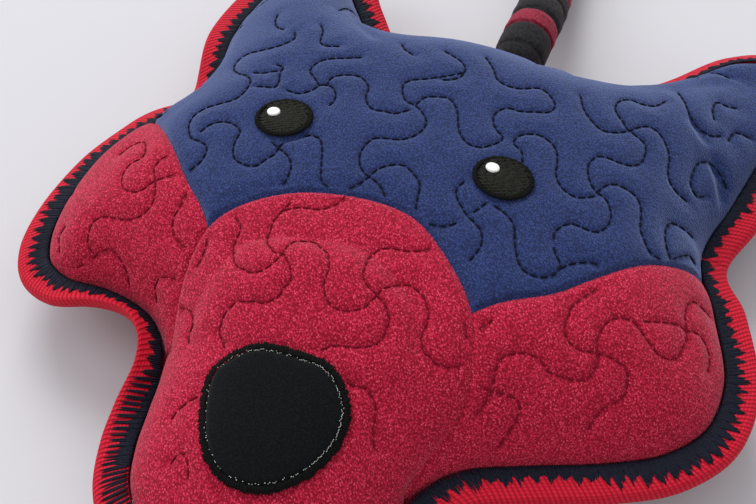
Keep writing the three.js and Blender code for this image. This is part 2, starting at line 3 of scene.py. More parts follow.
import bpy
import numpy as np
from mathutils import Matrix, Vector
from mathutils.kdtree import KDTree


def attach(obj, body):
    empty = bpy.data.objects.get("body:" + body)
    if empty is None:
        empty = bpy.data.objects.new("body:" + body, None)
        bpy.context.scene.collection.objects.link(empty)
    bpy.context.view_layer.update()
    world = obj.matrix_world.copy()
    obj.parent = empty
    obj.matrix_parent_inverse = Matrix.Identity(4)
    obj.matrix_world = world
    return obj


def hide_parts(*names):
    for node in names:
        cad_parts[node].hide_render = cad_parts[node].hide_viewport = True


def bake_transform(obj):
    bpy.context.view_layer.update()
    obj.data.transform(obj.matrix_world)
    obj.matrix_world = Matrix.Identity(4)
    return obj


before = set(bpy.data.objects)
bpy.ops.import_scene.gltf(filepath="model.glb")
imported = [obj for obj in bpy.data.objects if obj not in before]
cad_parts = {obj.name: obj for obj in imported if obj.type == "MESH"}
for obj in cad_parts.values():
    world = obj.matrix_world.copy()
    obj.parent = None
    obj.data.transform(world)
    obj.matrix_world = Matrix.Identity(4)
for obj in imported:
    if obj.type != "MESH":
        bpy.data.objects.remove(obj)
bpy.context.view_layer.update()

MM = 0.001
# From the middle of the head's plan to the shared frame's origin, in millimetres
SHIFT = np.array([-5.834737, 6.614250])

# Sizes of the stuffed head, in millimetres
HEAD_WIDTH, HEAD_LENGTH = 242, 276
SEAM_HEIGHT = 21.5
FRONT_SWELL, BACK_SWELL, SWELL_REACH, SWELL_FALL = 36.5, 22, 35, 168
TAPE_WIDTH, TAPE_THICKNESS, CLEARANCE, HEM = 10.5, 1.5, 0.3, 1
TAPE_HALF = CLEARANCE / 2 + HEM + CLEARANCE + TAPE_THICKNESS
CLOTH_THICKNESS, CLOTH_LIFT = 1.6, 0.2
MUZZLE_SWELL, MUZZLE_REACH = 38.5, 34
MUZZLE_FALL_START, MUZZLE_FALL_BEND, MUZZLE_FALL_SHARE = -0.145 * HEAD_LENGTH, 18, 0.47
CROWN_CENTRE = (0.008, 0.018)
CLOTH_EDGE = TAPE_WIDTH + CLEARANCE
RIM_BAND = 28.0
QUILT_WAVE = 31.0
FRONT_STEP, BACK_STEP = 0.8, 1.25
# How deep the cloth is drawn in at its rows of stitches and at its seams: a sharp part and a soft part
FURROW_SHARP, FURROW_SOFT, BACK_SHARP, BACK_SOFT = 0.6, 0.55, 0.55, 0.4
FURROW_SHARP_WIDTH, FURROW_SOFT_WIDTH = 0.85, 4.2
SEAM_SHARP, SEAM_SOFT, SEAM_SHARP_WIDTH, SEAM_SOFT_WIDTH = 1.1, 0.9, 1.0, 4.0
FRONT_STITCH_SINK, BACK_STITCH_SINK = 0.8, 0.66
SEAM_GAP, PATCH_GAP, BACK_GAP = 1.6, 1.5, 2.2
FOLD_THINNING, FOLD_THINNING_REACH = 0.3, 16
LINE_STEP = 0.25

# Outlines, as shares of the head's width and length
HEAD_SHARES = [
    (0.05, 0.359), (0.14, 0.353), (0.211, 0.357), (0.285, 0.402), (0.355, 0.453), (0.417, 0.476),
    (0.471, 0.46), (0.508, 0.406), (0.507, 0.333), (0.492, 0.254), (0.474, 0.174), (0.46, 0.098),
    (0.488, 0.029), (0.525, -0.065), (0.517, -0.149), (0.467, -0.21), (0.393, -0.25), (0.298, -0.286),
    (0.24, -0.312), (0.211, -0.355), (0.198, -0.409), (0.157, -0.475), (0.083, -0.511), (0, -0.522),
    (-0.079, -0.507), (-0.14, -0.475), (-0.182, -0.431), (-0.202, -0.384), (-0.211, -0.341), (-0.223, -0.29),
    (-0.252, -0.257), (-0.306, -0.243), (-0.372, -0.243), (-0.43, -0.221), (-0.463, -0.178), (-0.477, -0.109),
    (-0.467, -0.029), (-0.434, 0.047), (-0.405, 0.12), (-0.409, 0.188), (-0.417, 0.257), (-0.409, 0.333),
    (-0.388, 0.402), (-0.347, 0.453), (-0.285, 0.473), (-0.227, 0.442), (-0.178, 0.388), (-0.12, 0.341),
    (-0.045, 0.355),
]
MUZZLE_SHARES = [
    (0.008, -0.056), (0.066, -0.063), (0.12, -0.096), (0.171, -0.143), (0.196, -0.193),
    (0.204, -0.246), (0.182, -0.3), (0.163, -0.36), (0.148, -0.41), (0.112, -0.447),
    (0.055, -0.469), (0, -0.474), (-0.055, -0.466), (-0.1, -0.44), (-0.134, -0.4),
    (-0.152, -0.35), (-0.163, -0.3), (-0.183, -0.253), (-0.191, -0.19), (-0.18, -0.138),
    (-0.145, -0.1), (-0.085, -0.07),
]
APRON_SHARES = [
    (0.1, -0.3), (0.23, -0.35), (0.34, -0.42), (0.34, -0.7), (-0.34, -0.7), (-0.34, -0.3),
    (-0.22, -0.27), (-0.1, -0.25),
]
RIGHT_CHEEK_SHARES = [
    (0.15, -0.18), (0.2, -0.13), (0.26, -0.092), (0.3, -0.054), (0.354, -0.004), (0.422, 0.046),
    (0.475, 0.082), (0.6, 0.16),
]
LEFT_CHEEK_SHARES = [(-0.15, -0.18), (-0.2, -0.123), (-0.24, -0.09), (-0.285, -0.048), (-0.33, -0.008),
                     (-0.37, 0.028), (-0.41, 0.06), (-0.47, 0.098), (-0.6, 0.16)]
NOSE_SHARES = [(0, 0.47), (0.26, 0.44), (0.45, 0.24), (0.48, 0), (0.36, -0.3), (0.15, -0.48),
               (-0.1, -0.5), (-0.3, -0.38), (-0.46, -0.08), (-0.5, 0.2), (-0.3, 0.42)]
NOSE_WIDTH, NOSE_LENGTH, NOSE_PLACE = 44, 41, (1, -90.5)
EYE_WIDTH, EYE_LENGTH = 19, 17
GLINT_WIDTH, GLINT_LENGTH = 4.9, 4.3
EYE_PLACES = {"left": (-38.4, 7.3), "right": (35.9, 6.9)}
GLINT_PLACES = {"left": (-42.4, 8.3), "right": (31.7, 8.8)}
EAR_ROOTS = {"left": ((-0.12, 0.341), (-0.405, 0.12)), "right": ((0.46, 0.098), (0.211, 0.357))}
EAR_FOLD_HEIGHT, EAR_FOLD_LENGTH = 39, 16

# Rope tail: the points that the cord follows, in millimetres on the head's plan
ROPE_DIAMETER = 20
ROPE_ROUTE = [(14.52, 109.31, 21.5), (14.52, 119.36, 21.2), (13.52, 133.31, 17.5), (10.52, 157.31, 12.4),
              (7.52, 181.31, 10.3), (4.52, 211.31, 10.3), (3.02, 235.31, 13.3), (2.52, 249.26, 17.0),
              (2.52, 259.31, 17.3)]
TAIL_PIVOT, TAIL_EXIT_Y, TAIL_ROOM = (14.52, 97.01), 99.0, 1.5
RING_LENGTH, FIRST_RING = 10.5, 3.0
KNOT_CENTRE, KNOT_SCALE, KNOT_CORD = (2.52, 275.6, 17.3), (9.4, 8.2, 9.4), 6.9
TUFT_START, TUFT_LENGTH, TUFT_STRANDS = 292.2, 23.2, 150
FLOOR_GAP = 0.1
# Where the seam sits lower and further in: a place on the plan, its reach, its drop and its draw inwards.
# A drop or draw below nought raises the seam or moves it outwards.
SEAM_SETTLES = [
    ((-99, 43), 14, 8.5, 2.0), ((-20, 97), 30, 7.0, 1.5), ((30, 98), 26, 7.5, 1.5),
    ((62, 106), 18, 5.0, 1.0), ((112, 27), 12, 3.0, 3.0), ((-110, 8), 32, -4.0, -1.5),
    ((92, 106), 34, -6.5, 0.0),
]
# Where the bound edge tips: a place on the plan, its reach and the tip in degrees, upwards counted positive
EDGE_TIPS = [((-60, -73), 27, 52), ((-115, 2), 42, -21), ((92, 108), 36, -32)]
# Where the overcast stitches begin nearer to the rim: a place on the plan, its reach and how much nearer
STITCH_PLACES = [((118, -48), 34, 3.6), ((-50, -112), 24, 3.4), ((58, -108), 22, 1.8), ((-112, -15), 50, 1.6)]
# Where the overcast stitches are loose, and the line under which no dense band lies behind them
LOOSE_PLACE, LOOSE_REACH, LOOSE_LINE = (-50, -109), 26, -113
# Rows of quilting, read off the photo along each row of stitches, in the photo's pixels
QUILT_SEEN = [
    [(487, 56), (494, 68), (498, 78), (508, 84), (521, 87), (541, 87), (552, 95), (555, 104),
     (549, 110), (535, 110), (521, 109), (506, 106), (496, 111), (494, 119), (498, 128), (503, 134),
     (500, 139), (490, 143), (480, 145), (468, 141), (460, 131), (459, 121), (457, 107), (450, 97),
     (438, 94.5), (425, 96), (416, 102)],
    [(446, 50), (460, 58), (465, 66), (460, 75), (448, 78), (440, 77)],
    [(523, 159), (521, 149), (514, 141), (518, 134), (527, 132), (539, 133), (550, 139), (557, 147),
     (557.5, 159), (556, 171), (559, 181), (565, 189), (577, 195), (587, 196), (599, 194)],
    [(581, 94), (585, 107), (593, 119), (603, 128), (615, 131), (629, 129), (637, 126), (650, 125),
     (660, 131), (668, 143), (671, 157), (670, 171), (673, 183), (680, 193), (688, 200)],
    [(664, 99), (654, 104), (643, 102), (631, 98), (621, 99), (616, 105), (618, 113), (623, 119),
     (628, 127), (637, 134), (646, 143), (647, 153), (641, 161), (631, 164), (619, 160), (609, 156),
     (599, 155), (591, 160), (589, 167), (590, 177), (594, 185), (599, 191), (607, 197), (612, 208),
     (612, 218), (607, 226), (597, 230), (585, 227), (573, 223), (563, 224), (556, 230),
     (554, 240)],
    [(599, 190), (607, 184), (617, 183), (627, 187), (636, 194), (641, 203), (642, 216), (641, 228),
     (646, 238)],
    [(678, 91), (686, 101), (692, 113), (700, 127), (712, 134), (722, 135)],
    [(728, 187), (720, 171), (710, 162), (700, 163), (694, 171), (693, 185), (698, 195),
     (708, 196)],
    [(668, 240), (668, 228), (674, 223), (684, 228), (694, 236)],
    [(287, 88), (299, 91), (312, 88), (321, 83), (331, 84), (336, 91), (333, 99), (329, 103)],
    [(294.2, 30.8), (292.7, 36.7), (283.9, 41.8), (272.1, 45.5), (258.9, 48.4), (247.2, 52.1),
     (238.4, 57.2), (233.3, 63.1), (233.3, 67.5), (238.4, 71.9), (245.7, 73.3), (249.4, 77.7),
     (248.7, 83.6), (244, 90), (234, 97), (220, 102), (205, 106), (193, 113), (188.6, 122),
     (188, 131), (191, 136), (201, 140), (206, 146), (202, 157), (193, 165), (186, 171)],
    [(201, 129), (209, 123), (220, 120), (232, 122), (239, 129), (235, 139), (232, 148), (234, 157),
     (243, 163), (255, 164), (264, 158), (274, 152), (278, 146)],
    [(272, 141), (278, 146), (286, 152), (290, 162), (288, 173), (283, 181), (277, 189)],
    [(278, 145), (287, 139), (299, 136), (310, 133), (318, 137), (322, 146), (322, 158), (321, 169),
     (322, 179), (327, 185), (337, 188), (348, 187), (360, 181), (368, 175), (377, 167), (390, 163),
     (404, 164), (413, 171), (419, 183), (418, 194), (415, 206), (417, 213), (425, 221), (434, 224),
     (446, 224), (455, 221)],
    [(326.4, 83.6), (330.8, 76.3), (339.6, 73.3), (351.4, 72.6), (360.2, 74.8), (367.5, 80.7),
     (368.2, 86.5), (366, 93.9), (368.2, 101.2), (373.4, 107.1), (385.1, 109.3), (394, 111),
     (408, 108)],
    [(463, 71), (448, 74), (429, 77), (411, 78), (404, 82), (402, 90), (406, 99), (415, 104),
     (423, 111), (426, 120), (423, 128), (413, 134), (400, 137), (387, 136), (373, 137), (364, 143),
     (359, 152), (360, 164), (366, 172), (373, 177), (381, 185), (385, 194)],
    [(463, 180), (457, 187), (457, 197), (461, 206), (467, 213), (475, 221), (480, 229), (481, 240),
     (478, 249), (471, 258)],
    [(487, 201), (480, 206), (470, 212)],
    [(496, 205), (506, 212), (514, 224), (516, 240)],
    [(247, 195), (237, 200), (231, 208)],
    [(276.5, 13.2), (274.3, 19.1), (276.5, 24.9), (282.4, 27.9)],
    [(276.5, 63.1), (282.4, 64.5), (281.7, 68.2), (273.6, 69.7), (263.3, 71.1), (253.1, 71.1)],
    [(279.5, 71.9), (278, 79.2), (273.6, 85.1), (263.3, 85.1), (253.1, 84.3)],
    [(319.1, 82.9), (313.2, 74.8), (310.3, 68.9), (313.2, 63.1), (320.6, 58.7), (330.8, 57.2),
     (344, 56.5), (360.2, 55)],
    [(320.6, 23.5), (323.5, 29.3), (320.6, 35.2), (320.6, 41.1), (326.4, 44), (338.2, 44)],
    [(402.7, 42.5), (404.2, 46.9), (410, 51.3), (415.9, 53.5)],
    [(119, 152), (130, 144), (141, 140), (144, 146), (140, 156), (130, 161), (122, 171), (120, 180),
     (124, 188), (134, 191), (143, 186), (151, 180), (163, 175), (176, 172)],
    [(166, 154), (157, 159), (153, 167), (154, 175), (154, 186), (151, 200), (142, 213), (130, 219),
     (117, 217), (103, 216), (92, 221), (87, 232), (87, 244), (92, 255), (96, 260)],
    [(184, 192), (178, 205), (172, 217), (171, 230), (178, 242), (186, 248)],
    [(93, 257), (101, 251), (111, 252), (120, 261), (124, 272), (128, 284), (130, 297), (134, 305)],
    [(68, 267), (76, 268), (84, 263)],
    [(57, 251), (57, 236), (63, 226)],
    [(155, 301), (153, 286), (159, 276), (172, 278)],
    [(204.7, 239.6), (203.4, 247.6), (200, 257), (196, 265)],
    [(235.5, 215.4), (238.9, 222.1), (237.5, 231.5), (234.2, 239.6), (232.2, 247.6), (231.5, 258.3),
     (236.2, 265), (240.9, 267.7), (248.9, 271), (257, 270.4), (265, 267), (273, 259.6),
     (281.1, 250.9), (286.4, 243.6), (294.5, 239.5), (305.2, 239.3), (314.5, 240.2), (321.2, 244.9),
     (326.6, 250.3), (329.3, 257), (328.6, 265), (325.3, 274.4), (323.3, 282.4), (322.6, 289.1),
     (325.3, 297.1), (330.6, 305.2), (338.7, 308.5), (348, 310.5), (356.1, 309.2), (364.1, 305.2),
     (370.8, 299.8), (377.5, 293.1), (382.9, 287.8), (390.9, 285.1), (400, 283.7), (409, 284), (416, 288),
     (422, 293), (426, 300), (428, 306), (428, 313), (428, 321), (426, 326), (423, 334), (423, 350),
     (429, 355), (435, 361), (442, 365), (448, 367), (456, 366), (464, 364)],
    [(289.1, 200.7), (282.4, 208.7), (277.1, 214.1), (271.7, 220.8), (269, 228.8), (267, 236.9),
     (269, 243.6), (275.7, 250.3), (281.1, 250.9), (285.1, 255.6), (289.1, 263.7), (290.4, 273),
     (288.4, 281.1), (283.7, 286.4), (277.1, 294.5), (270.4, 298.5), (263.7, 301.2), (254.3, 300.5),
     (246.2, 299.8), (235.5, 301.2), (227.5, 306.5), (222.1, 314.5), (218.8, 323.9), (217.5, 332),
     (220.1, 338.7), (222.1, 345.4)],
    [(283.7, 207.4), (294.5, 206.1), (306.5, 206.1), (318.6, 207.4), (330.6, 205.4), (340, 199.4),
     (344, 194)],
    [(377.5, 293.1), (369.5, 286.4), (364.8, 279.7), (364.1, 270.4), (365.4, 262.3), (370.8, 254.3),
     (380, 248.6), (391.5, 246.8), (403, 248), (413.3, 249.7), (422.5, 249.7), (430.5, 246.8)],
    [(377.5, 293.8), (384.2, 302.5), (388.2, 310.5), (389.6, 318.6), (386.9, 327.9), (382.9, 336),
     (376.2, 342.7), (366.8, 346), (353.4, 346.7), (341.3, 345.4), (330.6, 345.4), (321.2, 348)],
    [(465.6, 320.9), (465, 331.3), (467.3, 340.4), (471.9, 347.3)],
    [(179, 307), (188, 311), (191, 318), (189, 328)],
    [(349, 382), (357, 385), (363, 387), (372, 395), (376, 406), (375, 416), (374, 427), (374, 438),
     (376, 447), (380, 454)],
    [(190, 325), (186, 335), (187, 345)],
    [(170, 418), (175, 411), (182, 404), (189, 399), (195, 396)],
    [(170, 461), (174, 455), (181, 451), (185, 461), (186, 470), (185, 482)],
    [(221, 478), (219, 487), (221, 495), (223, 504)],
    [(313, 478), (317, 489), (321, 495)],
    [(595.9, 287.4), (586.7, 293.7), (579.4, 298.3), (572.1, 304.7), (568.5, 312.9), (565.8, 322.9),
     (565.8, 332.0), (569.4, 341.2), (577.6, 347.6), (586.7, 350.3), (597.7, 350.3)],
    [(597.7, 351.2), (598.6, 340.3), (601.3, 331.1), (605.9, 322.9), (614.1, 317.5), (625.0, 317.1),
     (635.1, 320.2), (642.4, 328.4), (647.8, 337.5), (654.2, 346.6), (661.5, 353.9), (671.6, 358.5),
     (679.8, 354.8), (685.2, 347.6), (688.0, 338.4), (687.1, 328.9), (679.8, 324.2), (663.3, 321.1),
     (645.1, 319.3)],
    [(687.1, 328.9), (691.6, 329.3), (699.8, 333), (707.1, 342.1), (711.7, 353), (712.6, 364),
     (710.8, 371.3)],
    [(688, 327.5), (687.1, 312.9), (690.7, 302.9), (698, 301.6), (705.3, 308.3), (710.8, 314.7),
     (716.2, 323.8), (719.9, 333), (725.4, 342.1)],
    [(597.7, 351.2), (597.7, 362.1), (594, 371.3), (586.7, 380.4), (575.8, 384.9), (564.8, 385.9),
     (555.7, 381.3), (548.4, 371.3), (542, 362.1), (533.8, 354.8), (522.9, 351.2), (510.1, 353),
     (499.2, 359.4), (494.6, 367.6), (493.7, 378.6), (492.8, 389.5), (488.2, 398.6), (482.8, 409.6),
     (475.5, 415.9)],
    [(598, 352), (608.6, 354.8), (617.7, 359.4), (625, 365.8), (628.7, 374.9), (628.7, 385.9),
     (624.1, 395.9), (614.1, 403.2), (603.2, 409.6), (594, 416.9), (588.6, 426), (585.8, 435.1),
     (585.8, 444.2), (590.4, 450.6), (597.7, 453.3)],
    [(477.3, 389.5), (486.4, 387.7), (493.7, 385.9), (502.8, 386.8), (512, 391.3), (518.3, 400.4),
     (521.1, 409.6), (517.4, 418.7), (513, 426), (494, 436), (480, 446), (476, 458), (478, 468),
     (482, 477)],
    [(507, 475), (513, 462), (523, 455), (537, 452), (549, 456), (557, 465), (559, 471)],
    [(611, 466), (614.1, 460.6), (615.9, 449.7), (621.4, 438.8), (628.7, 431.5), (639.6, 428.7),
     (652.4, 430.5), (659.7, 436.9), (663.3, 446)],
    [(471.8, 331.1), (480.9, 327.5), (490.1, 320.2), (493.7, 312.9)],
    [(440, 441), (450, 443), (456, 452), (454, 466), (448, 481)],
    [(514, 224), (516, 240), (517.9, 259), (523.9, 268.6), (535.9, 274.6), (550.3, 274.6),
     (559.9, 267.4), (561, 263.8), (556.3, 254.2), (553.1, 242.3)],
    [(646, 238), (649, 247), (655, 254), (665.4, 258.6), (671.4, 257.1), (670.2, 249.4),
     (668, 240)],
    [(561, 266), (571.8, 262.6), (583.8, 260.2), (591, 260.2), (598.2, 263.8), (603, 271)],
    [(676.2, 257.8), (684.6, 254.2), (691.8, 255.4), (696.5, 261.4)],
    [(730, 139), (735, 131), (742, 132), (754, 139)],
    [(715.7, 117.5), (713, 108), (718, 100.8), (727.7, 104.4), (737.3, 106.8)],
]
# Drag folds in the cloth: start, end, depth and half width
DRAG_FOLDS = [
    ((94, 59), (104, 43), 1.9, 2.5), ((82, 69), (92, 60), 1.0, 2.2),
    ((-75, -65.5), (-59.5, -70.5), 1.2, 2.0), ((-98, 84), (-85.5, 65), 1.2, 2.4),
    ((-40, 72), (-25.5, 56.5), 1.0, 2.2), ((-88, 20), (-80, 30), 0.9, 2.0),
]
# The photo's camera: degrees, millimetres and pixels
PICTURE_SIZE = (756, 504)
AZIMUTH, ELEVATION, ROLL = 22.9, 51.0, -1.5
FOCAL_LENGTH, CAMERA_DISTANCE, CAMERA_AIM = 1250, 439.8, (-7.1, 8.2)
SENSOR_WIDTH = 36
WORLD_STRENGTH = 0.66


def place(share):
    return np.array([share[0] * HEAD_WIDTH, share[1] * HEAD_LENGTH])


def settled(points):
    """The soft edge sits lower and further in at the waists and between the ears"""
    points = np.asarray(points, dtype=float).copy()
    edge, inward = head_line.reach(points[:, :2], True)
    near = 1 - smooth_step(edge, 9, 25)
    drop, draw, raised = (np.zeros(len(points)) for _ in range(3))
    for centre, reach, fall, pull in SEAM_SETTLES:
        weight = np.exp(-(np.linalg.norm(points[:, :2] - centre, axis=1) / reach) ** 2)
        drop = np.maximum(drop, fall * weight)
        raised = np.maximum(raised, -fall * weight)
        draw = np.maximum(draw, pull * weight) if pull > 0 else draw + pull * weight
    points[:, :2] += inward * (draw * near)[:, None]
    points[:, 2] -= (drop - raised) * near * np.clip(points[:, 2] / 14, 0, 1)
    tip = np.zeros(len(points))
    for centre, reach, degrees in EDGE_TIPS:
        tip += math.radians(degrees) * np.exp(-(np.linalg.norm(points[:, :2] - centre, axis=1) / reach) ** 2)
    out = np.clip(CLOTH_EDGE + 1.5 - edge, 0, CLOTH_EDGE + 1.5)
    points[:, 2] += out * np.sin(tip)
    points[:, :2] += inward * (out * (1 - np.cos(tip)))[:, None]
    return points


def to_row(points, soft=True):
    """From millimetres on the head's plan to metres in the shared frame"""
    points = settled(points) if soft else np.asarray(points, dtype=float)
    return np.column_stack([points[:, 0] + SHIFT[0], points[:, 1] + SHIFT[1], points[:, 2]]) * MM


# Camera and rope come first


def make_camera():
    azimuth, elevation, roll = (math.radians(angle) for angle in (AZIMUTH, ELEVATION, ROLL))
    back = np.array([math.sin(azimuth) * math.cos(elevation), -math.cos(azimuth) * math.cos(elevation),
                     math.sin(elevation)])
    target = np.array([CAMERA_AIM[0] + SHIFT[0], CAMERA_AIM[1] + SHIFT[1], 0.0])
    where = (target + back * CAMERA_DISTANCE) * MM
    right = np.cross([0, 0, 1], back)
    right /= np.linalg.norm(right)
    up = np.cross(back, right)
    right, up = (math.cos(roll) * right + math.sin(roll) * up,
                 -math.sin(roll) * right + math.cos(roll) * up)
    data = bpy.data.cameras.new("camera")
    data.sensor_width = SENSOR_WIDTH
    data.lens = SENSOR_WIDTH * FOCAL_LENGTH / PICTURE_SIZE[0]
    data.clip_start, data.clip_end = 0.01, 20
    camera = bpy.data.objects.new("camera", data)
    bpy.context.collection.objects.link(camera)
    turned = np.column_stack([right, up, back])
    matrix = camera.matrix_world.copy()
    for i in range(3):
        for j in range(3):
            matrix[i][j] = turned[i][j]
        matrix[i][3] = where[i]
    camera.matrix_world = matrix
    bpy.context.scene.camera = camera


def spline(points, count, closed):
    """Points along a smooth curve through the given points, count to a span"""
    points = np.asarray(points, dtype=float)
    n = len(points)
    spans = n if closed else n - 1
    out = []
    for i in range(spans):
        if closed:
            p0, p1, p2, p3 = (points[(i + k) % n] for k in (-1, 0, 1, 2))
        else:
            p1, p2 = points[i], points[i + 1]
            p0 = points[i - 1] if i else 2 * p1 - p2
            p3 = points[i + 2] if i + 2 < n else 2 * p2 - p1
        a, b, c = (max(np.linalg.norm(q - p) ** 0.5, 1e-6) for p, q in ((p0, p1), (p1, p2), (p2, p3)))
        t1 = ((p1 - p0) / a - (p2 - p0) / (a + b) + (p2 - p1) / b) * b
        t2 = ((p2 - p1) / b - (p3 - p1) / (b + c) + (p3 - p2) / c) * b
        for k in range(count):
            t = k / count
            square = (-3 * p1 + 3 * p2 - 2 * t1 - t2) * t * t
            cube = (2 * p1 - 2 * p2 + t1 + t2) * t ** 3
            out.append(p1 + t1 * t + square + cube)
    if not closed:
        out.append(points[-1])
    return np.array(out)


def resampled(points, step, closed):
    """The same line in equal steps, with the length from its start at each point"""
    line = np.vstack([points, points[:1]]) if closed else np.asarray(points)
    lengths = np.concatenate([[0], np.cumsum(np.linalg.norm(np.diff(line, axis=0), axis=1))])
    count = max(2, int(round(lengths[-1] / step)))
    at = np.linspace(0, lengths[-1], count + 1)
    if closed:
        at = at[:-1]
    return np.column_stack([np.interp(at, lengths, line[:, k]) for k in range(line.shape[1])]), at


def new_piece(name, vertices, faces, material, smooth=True):
    mesh = bpy.data.meshes.new(name)
    mesh.from_pydata([tuple(v) for v in vertices], [], [tuple(int(i) for i in f) for f in faces])
    mesh.update()
    mesh.polygons.foreach_set("use_smooth", [smooth] * len(mesh.polygons))
    mesh.materials.append(material)
    piece = bpy.data.objects.new(name, mesh)
    bpy.context.collection.objects.link(piece)
    return piece


def add_uv(piece, per_vertex):
    """A UV map from one pair of numbers for each vertex"""
    mesh = piece.data
    layer = mesh.uv_layers.new(name="UVMap")
    index = np.empty(len(mesh.loops), dtype=np.int32)
    mesh.loops.foreach_get("vertex_index", index)
    layer.data.foreach_set("uv", np.asarray(per_vertex, dtype=np.float32)[index].ravel())


# Materials


def node_set(name, roughness, sheen=0.0, sheen_tint=(1, 1, 1), specular=0.3):
    material = bpy.data.materials.new(name)
    material.use_nodes = True
    tree = material.node_tree
    shader = tree.nodes["Principled BSDF"]
    shader.inputs["Roughness"].default_value = roughness
    shader.inputs["Specular IOR Level"].default_value = specular
    shader.inputs["Sheen Weight"].default_value = sheen
    shader.inputs["Sheen Roughness"].default_value = 0.45
    shader.inputs["Sheen Tint"].default_value = (*sheen_tint, 1)
    return material, tree, shader


def object_place(tree):
    return tree.nodes.new("ShaderNodeTexCoord").outputs["Object"]


def calculate(tree, operation, *values):
    """A math node on numbers and other nodes' results"""
    made = tree.nodes.new("ShaderNodeMath")
    made.operation = operation
    for socket, value in zip(made.inputs, values):
        if isinstance(value, (int, float)):
            socket.default_value = value
        else:
            tree.links.new(value, socket)
    return made.outputs[0]


def mix_colours(tree, factor, first, second):
    mix = tree.nodes.new("ShaderNodeMix")
    mix.data_type = "RGBA"
    tree.links.new(factor, mix.inputs[0])
    for socket, colour in ((mix.inputs[6], first), (mix.inputs[7], second)):
        if isinstance(colour, tuple):
            socket.default_value = (*colour, 1)
        else:
            tree.links.new(colour, socket)
    return mix.outputs[2]


def ramp(tree, source, low, high):
    made = tree.nodes.new("ShaderNodeMapRange")
    made.clamp = True
    made.inputs["From Min"].default_value = low
    made.inputs["From Max"].default_value = high
    tree.links.new(source, made.inputs["Value"])
    return made.outputs["Result"]


def noise(tree, where, scale, detail=2.0, rough=0.5):
    made = tree.nodes.new("ShaderNodeTexNoise")
    made.inputs["Scale"].default_value = scale
    made.inputs["Detail"].default_value = detail
    made.inputs["Roughness"].default_value = rough
    tree.links.new(where, made.inputs["Vector"])
    return made.outputs["Fac"]


def bump(tree, shader, height, strength, distance):
    made = tree.nodes.new("ShaderNodeBump")
    made.inputs["Strength"].default_value = strength
    made.inputs["Distance"].default_value = distance
    tree.links.new(height, made.inputs["Height"])
    tree.links.new(made.outputs["Normal"], shader.inputs["Normal"])


def plush(name, deep, body, tip, sheen, sheen_tint, highlight_share):
    """Short-pile plush: fine nubs whose bright tips are painted highlight and whose dark gaps between them
    are painted shade, and a soft sheen
    """
    material, tree, shader = node_set(name, 0.95, sheen, sheen_tint, 0.1)
    where = object_place(tree)
    mapping = tree.nodes.new("ShaderNodeMapping")
    mapping.vector_type = "TEXTURE"
    mapping.inputs["Rotation"].default_value = (0, 0, 0.7)
    mapping.inputs["Scale"].default_value = (1.0, 1.5, 1.0)
    tree.links.new(where, mapping.inputs["Vector"])
    nubs = tree.nodes.new("ShaderNodeTexVoronoi")
    nubs.inputs["Scale"].default_value = 1900.0
    nubs.inputs["Randomness"].default_value = 1.0
    tree.links.new(mapping.outputs["Vector"], nubs.inputs["Vector"])
    parts = tree.nodes.new("ShaderNodeSeparateColor")
    tree.links.new(nubs.outputs["Color"], parts.inputs[0])
    fine = noise(tree, where, 1700.0, 1.0, 0.5)
    uneven = calculate(tree, "MULTIPLY_ADD", fine, 0.7, nubs.outputs["Distance"])
    # painted shade: where the nubs part, the colour goes towards the deep colour
    low = mix_colours(tree, ramp(tree, uneven, 1.0, 0.65), deep, body)
    # painted highlight: on a share of the nubs the colour goes towards the tip colour
    chosen = ramp(tree, parts.outputs[0], 1.0 - highlight_share, 1.0)
    painted_highlight = calculate(tree, "MULTIPLY", ramp(tree, uneven, 0.78, 0.5), chosen)
    tree.links.new(mix_colours(tree, painted_highlight, low, tip), shader.inputs["Base Color"])
    bump(tree, shader, calculate(tree, "SUBTRACT", 1.5, uneven), 0.45, 0.0004)
    return material


def two_tone(name, dark, light, finish, grain, share, relief):
    """Two shades of a colour, mixed by a fine grain that also raises the surface"""
    material, tree, shader = node_set(name, *finish)
    grains = noise(tree, object_place(tree), *grain)
    colour = mix_colours(tree, ramp(tree, grains, *share), dark, light)
    tree.links.new(colour, shader.inputs["Base Color"])
    bump(tree, shader, grains, *relief)
    return material


def thread(name, dark, light, roughness=0.55, sheen=0.2, specular=0.3):
    """Sewing thread: two shades along fine twisted strands"""
    finish = (roughness, sheen, (1, 1, 1), specular)
    return two_tone(name, dark, light, finish, (2400.0, 1.0), (0.35, 0.68), (0.3, 0.0002))


def felt(name, dark, light):
    finish = (0.97, 0.15, (0.6, 0.7, 0.7), 0.15)
    return two_tone(name, dark, light, finish, (1900.0, 3.0, 0.7), (0.45, 0.78), (0.5, 0.0004))


def plain(name, dark, light, roughness, scale):
    return two_tone(name, dark, light, (roughness,), (scale, 3.0), (0.3, 0.7), (0.2, 0.0004))


